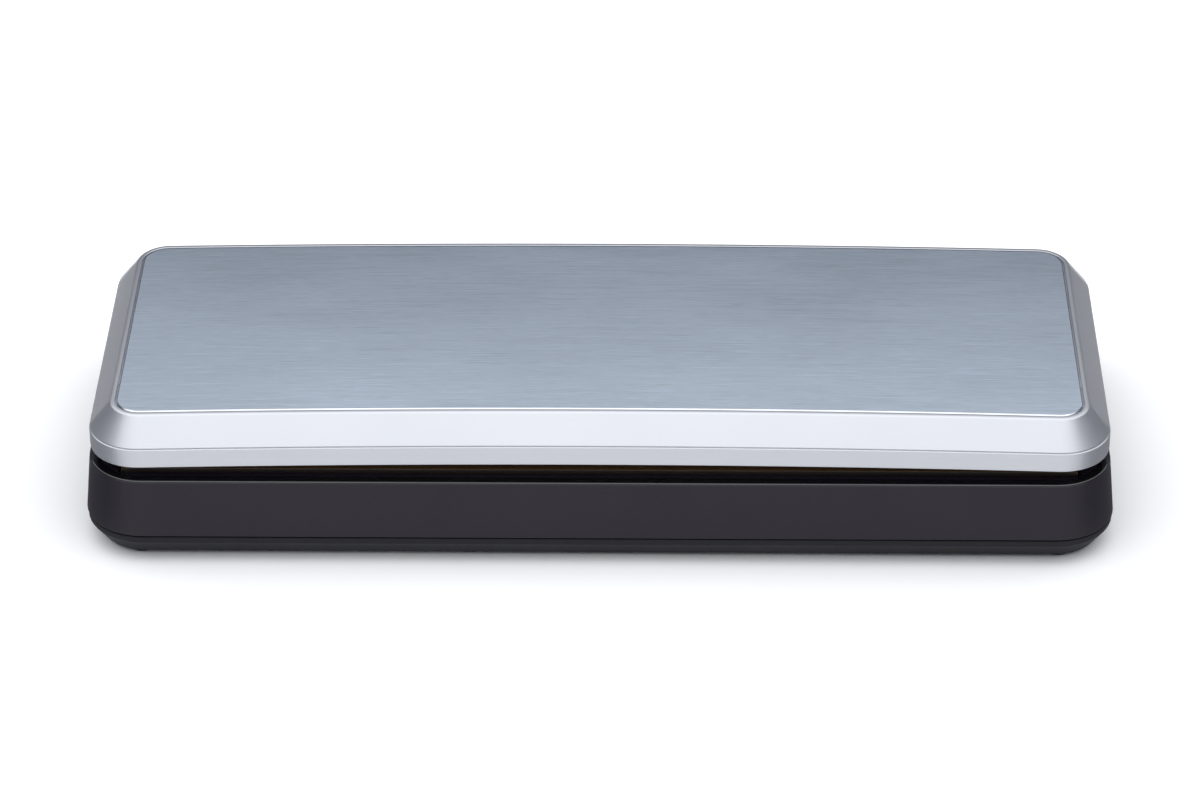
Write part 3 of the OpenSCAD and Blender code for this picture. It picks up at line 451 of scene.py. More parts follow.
# %% Tape and silicone
glass_cloth, add, link = finish("coated glass cloth", (0.165, 0.088, 0.036), 0.42, Coat_Weight=0.15,
                                Coat_Roughness=0.3)
place = add("TexCoord").outputs["Object"]
warp, weft = (add("TexWave", {"Vector": place, "Scale": 480.0}, bands_direction=way).outputs["Fac"]
              for way in ("X", "Y"))
weave = combined(add, "MULTIPLY", warp, weft)
link("Base Color", tint(add, weave, (0.120, 0.062, 0.025), (0.205, 0.112, 0.048), 0.0, 0.8))
link("Normal", bump(add, weave, 0.000030, 0.7))

silicone_grey = grained_plastic("grey silicone", (0.090, 0.088, 0.084), 0.52, 1200, 0.000015)
silicone_clear = grained_plastic("clear silicone", (0.62, 0.63, 0.60), 0.35, 700, 0.000010, Subsurface_Weight=0.3)
print("tape and silicone ready")

# %% [markdown]
# ## Metals
# Screws, pins and springs are plain steel, the terminals brass and the heat sink extruded aluminium. For a
# metal the base colour is the colour of its reflection. Stretched noise stands for drawing and turning marks.

# %% Steel, brass and aluminium
def machined_metal(name, colour, roughness, marks):
    """A metal with fine marks, so many per metre along x, y and z."""
    material, add, link = finish(name, colour, roughness, 1.0)
    lines = noise(add, marks, 3.0, 0.6)
    link("Base Color", tint(add, lines, shade(colour, 0.86), shade(colour, 1.08)))
    link("Roughness", spread(add, lines, roughness - 0.06, roughness + 0.08))
    link("Normal", bump(add, lines, 0.000008, 0.5))
    return material


steel = machined_metal("bright steel", (0.56, 0.56, 0.57), 0.28, (400, 2400, 2400))
heating_alloy = machined_metal("heating strip alloy", (0.48, 0.46, 0.42), 0.35, (120, 5200, 900))
brass = machined_metal("brass", (0.72, 0.52, 0.22), 0.30, (900, 900, 2600))
aluminium = machined_metal("extruded aluminium", (0.72, 0.73, 0.75), 0.38, (2600, 2600, 90))
print("metals ready")

# %% [markdown]
# ## Electrical parts
# The boards are green with faint tracks. The transformer is a dark core with yellow tape round its winding,
# and the capacitors have blue sleeves with bare tops. Each is one CAD piece, so its colour changes with the
# height above the board. Wires are plain insulation in the usual colours.

# %% Boards, coils, sleeves and wires
board_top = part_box("power_board")[1].z


def by_height(add, limits, colours):
    """Sharp colour changes at the given heights above the board."""
    height = add("SeparateXYZ", {"Vector": add("TexCoord").outputs["Object"]}).outputs["Z"]
    result = (*colours[0], 1.0)
    for limit, colour in zip(limits, colours[1:]):
        over = combined(add, "GREATER_THAN", height, board_top + limit)
        result = add("Mix", {0: over, 6: result, 7: (*colour, 1.0)}, data_type="RGBA").outputs[2]
    return result


circuit_board, add, link = finish("circuit board", (0.02, 0.12, 0.05), 0.32, Coat_Weight=0.3, Coat_Roughness=0.2)
place = add("TexCoord").outputs["Object"]
tracks = add("TexBrick", {"Vector": place, "Scale": 160.0, "Mortar Size": 0.03, "Color1": (0.020, 0.120, 0.050, 1),
                          "Color2": (0.024, 0.135, 0.058, 1), "Mortar": (0.045, 0.210, 0.095, 1)})
link("Base Color", tracks.outputs["Color"])
link("Normal", bump(add, tracks.outputs["Fac"], 0.00003, 0.6))

ferrite, winding_tape = (0.03, 0.03, 0.032), (0.62, 0.46, 0.05)
coil, add, link = finish("transformer", (0.60, 0.46, 0.06), 0.45)
link("Base Color", by_height(add, (3.0 * MM, 14.0 * MM), (ferrite, winding_tape, ferrite)))
link("Roughness", spread(add, noise(add, (90, 90, 900), 2.0), 0.35, 0.55))
sleeve_blue, bare_top = (0.015, 0.022, 0.10), (0.45, 0.45, 0.46)
sleeve, add, link = finish("capacitor sleeve", (0.02, 0.03, 0.11), 0.3)
link("Base Color", by_height(add, (11.7 * MM, 12.1 * MM, 15.7 * MM), (sleeve_blue, bare_top, sleeve_blue, bare_top)))
link("Roughness", spread(add, noise(add, (400, 400, 400), 2.0), 0.24, 0.36))

wire_blue, wire_red, wire_yellow, wire_white = (
    grained_plastic(name, colour, 0.40, 1500, 0.000008) for name, colour in (
        ("blue wire", (0.015, 0.060, 0.330)), ("red wire", (0.400, 0.018, 0.012)),
        ("yellow wire", (0.600, 0.430, 0.030)), ("white wire", (0.640, 0.640, 0.620))))

lens_plastic, add, link = finish("clear lens", (0.92, 0.96, 0.98), 0.06, Transmission_Weight=1.0, IOR=1.49)
link("Roughness", spread(add, noise(add, (500, 500, 500), 2.0), 0.04, 0.10))
print("electrical finishes ready")

# %% [markdown]
# ## The lid's frame
# The lid is a thin-walled tray turned upside down. From its lower edge it goes straight up, leans inwards in a
# wide bevel, turns over a bright rim and drops into the recess for the plate. A small step draws a thin line
# between band and bevel. The top is arched, falling to both ends. The profile starts inside, at the ceiling,
# so that one loft makes inside and outside together.

# %% Lid frame
lid_half_w, lid_half_d, lid_r = (v - lid_inset for v in (half_w, half_d, corner_r))
recess_inset = bevel_run + rim_w


def crown(point):
    """How far the arched lid rises over a point."""
    along = (point.y + half_d) / (2 * half_d)
    return (crown_front + (crown_rear - crown_front) * along) * (1 - (point.x / half_w) ** 2)


def lid_rings(profile):
    """Rings of the arched lid for a profile of insets and heights."""
    rings = [rounded_outline(lid_half_w - inset, lid_half_d - inset, lid_r - inset, height)
             for inset, height in profile]
    return [[point + Vector((0, 0, crown(point))) for point in ring] for ring in rings]


slope = bevel_h / bevel_run
inner_shift = lid_wall * math.hypot(bevel_run, bevel_h) / bevel_run
step_w = 0.3 * MM
lid_shell = loft("lid_shell", lid_rings(eased([
    ((ceiling_z - band_z + inner_shift) / slope, ceiling_z, 0),
    (lid_wall, band_z + lid_wall * slope - inner_shift, 1.0 * MM),
    (lid_wall, lid_z, 0.4 * MM), (0, lid_z, 0.55 * MM),
    (0, band_z - step_w, 0.12 * MM), (1.8 * step_w, band_z, 0.04 * MM),
    (step_w, band_z + step_w * slope, 0.2 * MM), (bevel_run, rim_z, 1.5 * MM),
    (recess_inset, rim_z, 0.3 * MM), (recess_inset, rim_z - plate_t - plate_bed, 0)])))
print("lid frame:", len(lid_shell.data.polygons), "faces")

# %% [markdown]
# ## Inside the lid
# Six round bosses hang from the lid's ceiling and take the liner's screws, and the band is cut low at the
# rear so that it clears the deck as the lid swings up. Both are worked into the shell, as a mould would.

# %% Lid bosses and rear notch
liner_z = deck_z + 4.4 * MM
liner_t = 3.0 * MM
boss_h = ceiling_z + 2.5 * MM - liner_z - liner_t
screw_insets = ((12 * MM, -half_d + 34 * MM), (30 * MM, half_d - 34 * MM), (130 * MM, half_d - 34 * MM))
lid_screw_spots = [(s * (half_w - inset), y) for s in (-1, 1) for inset, y in screw_insets]
rear_notch = block(about(0, half_w + 10 * MM), (hinge_at.y + 3 * MM, half_d + 5 * MM),
                   (lid_z - 5 * MM, band_z - 0.7 * MM))
worked(lid_shell, posts(3.5 * MM, liner_z + liner_t, boss_h, lid_screw_spots),
       [*posts(1.25 * MM, liner_z, 8.5 * MM, lid_screw_spots, 24), rear_notch])
fitted(lid_shell, silver_lacquer, "lid", "lid_frame")

# %% [markdown]
# ## The brushed plate
# The plate is a sheet one millimetre thick that follows the arch of the lid, with a fine gap round it. Its top
# edge is cut after the brushing, which leaves a smooth bright chamfer with a material of its own. A second map
# of coordinates tells the shader which way is across the brushing.

# %% Lid plate
rim_fillet = 0.22 * MM
plate_inset = recess_inset + plate_gap + rim_fillet
cut_edge = 0.36 * MM
lid_panel = loft("lid_panel", lid_rings([
    (plate_inset + 0.1 * MM, rim_z - plate_t), (plate_inset, rim_z - plate_t + 0.1 * MM),
    (plate_inset, rim_z - cut_edge), (plate_inset + cut_edge, rim_z)]))
across = lid_panel.data.uv_layers.new(name="across brushing")
for loop in lid_panel.data.loops:
    spot = lid_panel.data.vertices[loop.vertex_index].co
    across.data[loop.index].uv = (spot.y / half_w, spot.x / half_w)
bright_edge, add, link = finish("diamond-cut edge", (0.60, 0.63, 0.67), 0.22, 1.0)
link("Roughness", spread(add, noise(add, (900, 900, 900), 2.0), 0.16, 0.24))
fitted(lid_panel, brushed_plate, "lid", "lid_plate", crease=25)
lid_panel.data.materials.append(bright_edge)
for face in lid_panel.data.polygons:
    if 0.3 < face.normal.z < 0.95:
        face.material_index = 1
print("faces on the bright edge:", sum(f.material_index for f in lid_panel.data.polygons))

# %% [markdown]
# ## The base's upper housing
# The black upper housing is one deep moulding, open below. Its walls lean out a little on the way down, the
# draft that lets it leave its mould. The loft goes down inside the wall, round its lower edge and up outside.

# %% Base housing
wall_h = deck_z - seam_z
under_z = deck_z - deck_t
end_x, front_y, rear_y = half_w, -half_d, half_d


def wall_out(z):
    """How far the drafted wall stands outside the deck at that height."""
    return wall_draft * (deck_z - z) / wall_h


def level_loft(name, profile, half_x, half_y, corner, middle=(0.0, 0.0), spans=36, steps=12, loop=False):
    """A loft whose rings are level."""
    return loft(name, [rounded_outline(half_x - inset, half_y - inset, max(corner - inset, 0.1 * MM), height,
                                       middle, spans, steps) for inset, height in profile], loop)


housing_shell = level_loft("housing_shell", eased([
    (wall_t - wall_out(under_z), under_z, 0), (wall_t - wall_out(seam_z), seam_z, 0.2 * MM),
    (-wall_out(seam_z), seam_z, 0.35 * MM), (0, deck_z, 0.8 * MM), (3.5 * MM, deck_z, 0)]),
    half_w, half_d, corner_r)
print("housing:", len(housing_shell.data.polygons), "faces")

# %% [markdown]
# ## Where the housing is worked
# The bar, the gasket, the switch and the screws are CAD pieces, so the places of their grooves and bosses are
# read from the frame. Typed places would go stale as soon as the machine is made wider.

# %% Places on the housing
bar_low, bar_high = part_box("sealing_bar")
bar_y, bar_half_l, bar_half_w = (bar_low.y + bar_high.y) / 2, bar_high.x, (bar_high.y - bar_low.y) / 2
ring_low, ring_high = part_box("lower_gasket")
ring_y, ring_half_l, ring_half_d = (ring_low.y + ring_high.y) / 2, ring_high.x, (ring_high.y - ring_low.y) / 2
ring_r, gasket_w, gasket_seat, flange = 10 * MM, 5.5 * MM, 1.0 * MM, 1.5 * MM
channel_half_l, channel_half_w, channel_r = ring_half_l - 8 * MM, ring_half_d - 8 * MM, 2 * MM
switch_low, switch_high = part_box("lid_switch")
switch_at = centre_of("lid_switch_pin")
panel_low, panel_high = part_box("control_board")
panel_y, panel_half_l = (panel_low.y + panel_high.y) / 2, (panel_high.y - panel_low.y) / 2
inlet_low, inlet_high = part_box("power_inlet")
button_low, button_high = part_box("start_button")
button_z = (button_low.z + button_high.z) / 2
end_holes = [(4.8 * MM, centre_of(n).y) for n in ("start_button", "seal_button", "stop_button")]
end_holes.append((1.5 * MM, centre_of("indicator_lens").y))
case_spots = [(s * x, y) for s in (-1, 1) for x, y in (
    (end_x - 11 * MM, front_y + 22 * MM), (end_x - 15 * MM, rear_y - 22 * MM), (end_x - 140 * MM, rear_y - 14 * MM))]
rail_spots = [(s * (end_x - inset), hinge_at.y) for s in (-1, 1) for inset in (40 * MM, 110 * MM)]
print("groove and channel, mm long:", round(2 * bar_half_l / MM + 3), round(2 * channel_half_l / MM))

# %% [markdown]
# ## Added inside the housing
# Inside are the bed under the sealing bar, six screw bosses and the ribs of the switch and the button board.
# Each starts half a millimetre inside the deck, because solids that only touch don't join cleanly.

# %% Bed, bosses and ribs
bed_z = under_z - 4 * MM
root_z = under_z + 0.5 * MM
added = [block(about(0, bar_half_l + 4 * MM), about(bar_y, bar_half_w + 2 * MM), (bed_z, root_z))]
added += posts(4 * MM, 6.2 * MM, root_z - 6.2 * MM, case_spots)
for s in (-1, 1):
    panel_x = (panel_low.x + panel_high.x) / 2
    added.append(block(about(panel_x, 3 * MM), about(panel_y + s * 32 * MM, 2 * MM), (8.2 * MM, root_z)))
    rib_x = switch_at.x + s * (switch_high.x - switch_low.x + 2 * MM) / 2
    added.append(block(about(rib_x, 1 * MM), (switch_low.y, switch_high.y), (switch_low.z, root_z)))
print("solids added to the housing:", len(added))

# %% [markdown]
# ## Cut out of the housing
# The deck has a groove for the sealing bar, a ring groove for the gasket and an opening for the vacuum
# channel. The tools that cut them flare at the top, so each slot gets the rounded lip that a plain boolean
# lacks. The end wall is pierced for buttons and lamp, the rear wall for the inlet.

# %% Slots, bores and openings
lip = 0.35 * MM


def flared(low, top):
    """The profile of a tool that cuts straight down below a rounded lip."""
    curve = [(-lip * (1 - math.cos(a)), top - lip + lip * math.sin(a)) for a in map(math.radians, (20, 40, 60))]
    return [(0, low), (0, top - lip), *curve, (-lip * 1.4, top + lip * 0.4)]


leg_x = bar_half_l + 0.75 * MM
tools = [level_loft("bar groove", flared(deck_z - 3 * MM, deck_z), bar_half_l + 1.5 * MM, bar_half_w, 0.4 * MM,
                    (0, bar_y), 2, 3)]
tools += [block(about(s * leg_x, 0.75 * MM), about(bar_y, 1.8 * MM), (bed_z - 1 * MM, deck_z - 2.5 * MM))
          for s in (-1, 1)]
edge = [(0, -gasket_seat), (0, -lip), (-0.06 * MM, -0.66 * lip), (-0.3 * lip, -0.3 * lip), (-lip * 1.4, lip * 0.4)]
groove = [(x, deck_z + z) for x, z in edge] + [(gasket_w - x, deck_z + z) for x, z in reversed(edge)]
tools.append(level_loft("gasket groove", groove, ring_half_l, ring_half_d, ring_r, (0, ring_y), 24, 10, True))
for name, low_z, wider in (("channel opening", under_z - 1 * MM, 0), ("channel rim", deck_z - 1.2 * MM, flange)):
    tools.append(level_loft(name, [(0, low_z), (0, deck_z + 1 * MM)], channel_half_l + wider,
                            channel_half_w + wider, channel_r + wider, (0, ring_y), 2, 6))
tools += posts(1.3 * MM, 5.2 * MM, 16 * MM, case_spots, 24)
tools += posts(1.3 * MM, under_z - 1 * MM, deck_t + 2 * MM, rail_spots, 24)
tools.append(turned("pin hole", [(2.3 * MM - inset, z) for inset, z in flared(under_z - 1 * MM, deck_z)],
                    (switch_at.x, switch_at.y, 0)))
tools += [turned("end hole", [(r, 0), (r, 20 * MM)], (end_x - 8 * MM, y, button_z), "X") for r, y in end_holes]
tools.append(block((inlet_low.x - 0.1 * MM, inlet_high.x + 0.1 * MM), (inlet_low.y, rear_y + 10 * MM),
                   (inlet_low.z - 0.1 * MM, inlet_high.z + 0.1 * MM)))
tools += [block((panel_low.x - 0.05 * MM, panel_high.x + 0.05 * MM), about(panel_y + s * panel_half_l, 1 * MM),
                (4.2 * MM, panel_high.z + 0.05 * MM)) for s in (-1, 1)]
worked(housing_shell, added, tools)
fitted(housing_shell, black_satin, "base", "base_housing")

# %% [markdown]
# ## Smooth top edge of the housing
# The grain of the mould stops just short of the top edge. The edge and the ledge behind it are smooth and
# catch the light along the gap. Their faces are picked by height, slope and distance from the outline, and
# get a glossier black. A separate strip would show a joint that isn't there.

# %% Smooth top edge
edge_depth, ledge_w = 0.9 * MM, 3.4 * MM
edge_black, add, link = finish("smooth black edge", (0.0045, 0.0045, 0.0060), 0.14, Specular_IOR_Level=0.75)
link("Roughness", spread(add, noise(add, (700, 700, 700), 2.0), 0.11, 0.18))
housing_shell.data.materials.append(edge_black)
for face in housing_shell.data.polygons:
    beyond = (max(abs(face.center.x) - end_x + corner_r, 0), max(abs(face.center.y) - rear_y + corner_r, 0))
    if face.normal.z > 0.12 and deck_z - edge_depth < face.center.z and math.hypot(*beyond) > corner_r - ledge_w:
        face.material_index = 1
print("faces on the smooth edge:", sum(f.material_index for f in housing_shell.data.polygons))

# %% [markdown]
# ## The bottom tray
# The tray closes the housing from below. A short upright band under the seam slopes in to a smaller floor, so
# the machine seems to float. A tongue inside the seam locates the two halves.

# %% Bottom tray
tray_z = 2.0 * MM
floor_z = 4.2 * MM
tray_top_z = seam_z - 0.6 * MM
tray_band_z = tray_top_z - 2.2 * MM
tray_lean = 4.6 * MM
tongue_out, tongue_in, tongue_z = 2.6 * MM, 4.2 * MM, seam_z + 1.6 * MM
tray_half_w, tray_half_d, tray_r = (v + wall_draft - 0.4 * MM for v in (half_w, half_d, corner_r))
tray_shell = level_loft("tray_shell", eased([
    (tray_lean + 1.0 * MM, tray_z, 0), (tray_lean, tray_z, 0.6 * MM), (0, tray_band_z, 0.9 * MM),
    (0, tray_top_z, 0.4 * MM), (tongue_out, tray_top_z, 0.2 * MM), (tongue_out, tongue_z, 0.25 * MM),
    (tongue_in, tongue_z, 0.25 * MM), (tongue_in, tray_band_z, 0.8 * MM),
    (tray_lean + 2.2 * MM, floor_z, 0.6 * MM), (tray_lean + 4 * MM, floor_z, 0)]), tray_half_w, tray_half_d, tray_r)
print("tray:", len(tray_shell.data.polygons), "faces")

# %% [markdown]
# ## Tray floor
# The floor carries pads for the case screws and standoffs for the power board. It is cut for the screws, the
# plugs of the feet and two rows of vents, one under the pump and one under the board.

# %% Pads, recesses and vents
board_low, board_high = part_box("power_board")
board_spots = [(x, y) for x in (board_low.x + 4 * MM, board_high.x - 4 * MM)
               for y in (board_low.y + 4 * MM, board_high.y - 4 * MM)]
feet = ["foot_front_left", "foot_front_right", "foot_rear_left", "foot_rear_right"]
foot_spots = [(centre_of(n).x, centre_of(n).y) for n in feet]
pad_z, below = floor_z - 0.2 * MM, tray_z - 1 * MM
added = posts(5 * MM, pad_z, 2.2 * MM, case_spots)
added += posts(3 * MM, pad_z, board_low.z - floor_z + 0.2 * MM, board_spots)
tools = posts(1.7 * MM, below, 12 * MM, case_spots, 24)
tools += [turned("screw recess", [(4.0 * MM, 0), (3.1 * MM, 1.6 * MM), (3.1 * MM, 3.2 * MM)], (x, y, below))
          for x, y in case_spots]
tools += posts(1.1 * MM, floor_z + 0.6 * MM, 5 * MM, board_spots, 24)
tools += posts(2.5 * MM, below, 4.2 * MM, foot_spots)
vent_rows = ((-end_x + 52 * MM - 6 * MM, rear_y - 42 * MM),
             (board_low.x + 8 * MM, (board_low.y + board_high.y) / 2))
tools += [level_loft("vent", [(0, below), (0, floor_z + 1 * MM)], 1.1 * MM, 14 * MM, 1.0 * MM,
                     (first_x + i * 8 * MM, y), 2, 5) for first_x, y in vent_rows for i in range(10)]
worked(tray_shell, added, tools)
fitted(tray_shell, black_matte, "base", "bottom_tray")

# %% [markdown]
# ## Foam seals
# Two rings of soft foam meet when the lid is pressed down and close off the vacuum channel. Foam laid in a
# groove has rounded shoulders, so each ring is a closed profile carried round the outline. The upper ring
# turns with the lid.

# %% Gaskets
def seal(name, low, high, top_round, bottom_round):
    """A ring of foam between two heights."""
    section = eased([(0.05 * MM, low, bottom_round), (0.05 * MM, high, top_round),
                     (gasket_w - 0.05 * MM, high, top_round), (gasket_w - 0.05 * MM, low, bottom_round)], 5, True)
    return level_loft(name, section, ring_half_l, ring_half_d, ring_r, (0, ring_y), 30, 12, True)


lower_seal = seal("lower_seal", deck_z - gasket_seat, deck_z + 2 * MM, 1.5 * MM, 0.2 * MM)
fitted(lower_seal, seal_foam, "base", "lower_gasket")
upper_seal = seal("upper_seal", deck_z + 2.3 * MM, liner_z + 1.0 * MM, 0.2 * MM, 1.3 * MM)
fitted(upper_seal, seal_foam, "lid", "upper_gasket")

# %% [markdown]
# ## Tape over the heating strip
# The tape lies along the sealing bar over the flat heating strip. It bulges very slightly and turns down over
# both ends of the bar, so it is one thin section carried along a path with two bends. A flat box would show
# no fold.

# %% Slip tape
tape_low, tape_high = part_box("slip_tape")
bar_top = bar_high.z
tape_t, bulge, bend_r = 0.12 * MM, 0.26 * MM, 0.4 * MM


def tape_section(x, up, out, base_z):
    """Points across the tape at one place. up and out give the way its outer face looks."""
    reach = (tape_high.y - tape_low.y) / 2
    spots = [(reach * k / 8, bulge * (1 - abs(k) / 8) ** 0.5) for k in range(-8, 9)]
    top = [Vector((x + out * (tape_t + lift), bar_y + y, base_z + up * (tape_t + lift * 0.75)))
           for y, lift in spots]
    return top + [Vector((x, bar_y + y, base_z)) for y, lift in reversed(spots)]


def tape_bend(side, angles):
    """The bend of the path over one end of the bar."""
    return [(side * (tape_end - bend_r * (1 - math.sin(a))), math.sin(a), side * math.cos(a),
             bar_top - 0.2 * MM + 0.2 * MM * math.sin(a)) for a in angles]


bend = [math.radians(a) for a in (0, 30, 60, 90)]
tape_end = tape_high.x + 0.45 * MM
path = [(-tape_end, 0.0, -1.0, bar_top - 1.6 * MM), *tape_bend(-1, bend)]
path += [(-tape_end * (1 - k / 12), 1.0, 0.0, bar_top) for k in range(1, 24)]
path += [*tape_bend(1, reversed(bend)), (tape_end, 0.0, 1.0, bar_top - 1.6 * MM)]
sealing_tape = drawn("sealing_tape", [tape_section(*place) for place in path])
fitted(sealing_tape, glass_cloth, "base", "slip_tape", crease=50)

# %% [markdown]
# ## Strip that presses the bag down
# Under the lid's front edge a silicone strip presses the bag onto the tape. Three low ribs along its face grip
# the film. They are drawn into the section.

# %% Pressure strip
press_low = deck_z + 1.5 * MM + 0.35 * MM + 0.35 * MM
press_high = liner_z + 1.5 * MM
rib_h = 0.25 * MM
ribs = []
for k in range(-12, 13):
    wave = rib_h * (1 - math.cos(3 * 2 * math.pi * (k + 12) / 24)) / 2
    ribs.append((bar_half_w * 0.94 * k / 12, press_low + rib_h - wave))
shoulder = press_low + 0.6 * MM
section = [(-bar_half_w, press_high), (-bar_half_w, shoulder), *ribs, (bar_half_w, shoulder),
           (bar_half_w, press_high)]
tips = [(-bar_half_l, 0.92), (-bar_half_l + 0.4 * MM, 1.0), (bar_half_l - 0.4 * MM, 1.0), (bar_half_l, 0.92)]
grip_strip = drawn("grip_strip", [[Vector((x, bar_y + y * narrow, z)) for y, z in section] for x, narrow in tips])
fitted(grip_strip, silicone_grey, "lid", "pressure_strip")

# %% [markdown]
# ## Buttons
# Three round push buttons sit in the right end wall. A button's face is slightly dished and its rim rounded.
# Behind the wall are a flange, so it can't fall out, and a stem. One profile, turned three times, gives all.

# %% Buttons
def across_wall(name, node, profile, finish_given, body):
    """Turns a piece that goes through the right end wall."""
    base = (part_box(node)[0].x, *centre_of(node).yz)
    fitted(turned(name, profile, base, "X", 64), finish_given, body, node, 30)


button_l = button_high.x - button_low.x
flange_at = 1.9 * MM
cap_r, flange_r, stem_r, dish_r = 4.5 * MM, 5.7 * MM, 1.2 * MM, 3.6 * MM
soft = 0.5 * MM
cap_profile = [(0.6 * MM, 0), (stem_r, 0), (stem_r, flange_at), (flange_r - 0.2 * MM, flange_at),
               (flange_r, flange_at + 0.2 * MM), (flange_r, flange_at + 1.0 * MM),
               (flange_r - 0.2 * MM, flange_at + 1.2 * MM), (cap_r, flange_at + 1.2 * MM)]
cap_profile += [(cap_r - soft * (1 - math.cos(a)), button_l - soft + soft * math.sin(a))
                for a in map(math.radians, range(0, 91, 18))]
cap_profile += [(dish_r * (1 - k / 8) + 0.02 * MM, button_l - soft * math.sin(math.pi / 2 * k / 8) ** 1.5)
                for k in range(1, 9)]
for use in ("start", "seal", "stop"):
    across_wall(use + "_cap", use + "_button", cap_profile, grey_plastic, use + "_button")

# %% [markdown]
# ## Lamp and feet
# Beside the buttons is a small lamp, a clear light guide with a domed end. The feet are rubber pads with
# rounded edges and a plug that snaps into the tray. Both are turned as well.

# %% Lamp and feet
lens_low, lens_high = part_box("indicator_lens")
lens_l, lens_r, dome_h = lens_high.x - lens_low.x, 1.45 * MM, 0.45 * MM
dome = [(lens_r * math.cos(a), lens_l - dome_h + dome_h * math.sin(a)) for a in map(math.radians, range(0, 90, 10))]
across_wall("lamp_window", "indicator_lens", [(lens_r - 0.15 * MM, 0), (lens_r, 0.15 * MM), *dome],
            lens_plastic, "base")

foot_r, foot_soft, plug_z = 6 * MM, 1.1 * MM, 5.2 * MM
pad = [(1.0 * MM, 0.35 * MM), (2.2 * MM, 0.35 * MM), (2.5 * MM, 0.12 * MM), (2.9 * MM, 0), (foot_r - foot_soft, 0)]
pad += [(foot_r - foot_soft + foot_soft * math.sin(a), foot_soft * (1 - math.cos(a)))
        for a in map(math.radians, range(18, 91, 18))]
pad += [(foot_r, 1.8 * MM), (foot_r - 0.2 * MM, tray_z), (2.5 * MM, tray_z), (2.5 * MM, 4.9 * MM),
        (2.2 * MM, plug_z), (0.5 * MM, plug_z)]
for node, (x, y) in zip(feet, foot_spots):
    fitted(turned(node + "_pad", pad, (x, y, 0), "Z", 64), black_rubber, "base", node, 40)

# %% [markdown]
# ## Valve spring
# Inside the release valve a small coil spring pushes the plunger down. A round wire is drawn along a helix.
# When the plunger rises the spring gets shorter, which a rigid piece can't do. Here it moves with the base and
# gets a mesh of its own.

# %% Valve spring
spring_low, spring_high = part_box("valve_spring")
spring_at = centre_of("valve_spring")
spring_l = spring_high.z - spring_low.z
coil_r, turns, steps_a_turn = 2.6 * MM, 4, 28
wire_r = (spring_high.x - spring_low.x) / 2 - coil_r


def wire_ring(part):
    """A circle of points round the wire, part of the way along it."""
    angle = 2 * math.pi * turns * part
    out = Vector((math.cos(angle), math.sin(angle), 0))
    height = spring_low.z + wire_r + (spring_l - 2 * wire_r) * part
    middle = Vector((spring_at.x, spring_at.y, height)) + out * coil_r
    return [middle + wire_r * (math.cos(b) * out + math.sin(b) * Vector((0, 0, 1)))
            for b in (2 * math.pi * k / 10 for k in range(10))]


steps = turns * steps_a_turn
return_spring = drawn("return_spring", [wire_ring(i / steps) for i in range(steps + 1)])
fitted(return_spring, steel, "base", "valve_spring", 60)
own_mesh(return_spring)
print("wire %.2f mm thick, spring %.1f mm long" % (2 * wire_r / MM, spring_l / MM))

# %% [markdown]
# ## Pieces kept from the frame
# The rest of the machine keeps its CAD shapes: screws, hinge, pump, valve, boards and wires. CAD edges are
# perfectly sharp, and a small bevel catches the light as a real edge does. It is a modifier, so the CAD mesh
# stays as it is. The weld and the simplified faces give it clean edges.

# %% Finishes and soft edges for the kept pieces
for finish_given, edge, names in (
        (black_matte, 0.25, "vacuum_channel hinge_rail motor_end_cap pump_head valve_body valve_cap lid_switch "
                            "power_inlet tact_switches"),
        (liner_plastic, 0.3, "lid_liner"), (black_rubber, 0.3, "pump_cradle pump_diaphragm"),
        (steel, 0.15, "case_screws lid_screws hinge_pin_left hinge_pin_right pump_motor_can pump_rotor "
                      "valve_plunger"),
        (heating_alloy, 0.05, "heating_strip"), (bakelite, 0.25, "sealing_bar"),
        (brass, 0.12, "strip_terminals inlet_pins"), (white_plastic, 0.25, "lid_switch_pin"),
        (silicone_clear, 0.15, "pump_hose valve_hose"), (circuit_board, 0.1, "power_board control_board"),
        (coil, 0.2, "transformer"), (sleeve, 0.3, "capacitors"), (aluminium, 0.15, "heat_sink"),
        (wire_blue, 0, "mains_leads"), (wire_red, 0, "heater_leads"), (wire_yellow, 0, "motor_leads"),
        (wire_white, 0, "control_cable")):
    for piece in (nodes[name] for name in names.split()):
        for place in piece.material_slots:
            place.material = finish_given
        if edge:
            piece.modifiers.new("weld", "WELD").merge_threshold = 0.000002
            flat = piece.modifiers.new("flat faces", "DECIMATE")
            flat.decimate_type, flat.angle_limit = "DISSOLVE", math.radians(0.4)
            bevel = piece.modifiers.new("soft edges", "BEVEL")
            bevel.width, bevel.segments = edge * MM, 2
            bevel.limit_method, bevel.angle_limit = "ANGLE", math.radians(50)
            piece.modifiers.new("even shading", "WEIGHTED_NORMAL").keep_sharp = True
    print("edges of %.2f mm:" % edge, names)

# %% [markdown]
# ## Floor
# A product stands on a pale table that runs out of sight. The floor is white round the machine and a little
# greyer further out. Far from the lamps it would look black, so it gives some light of its own.

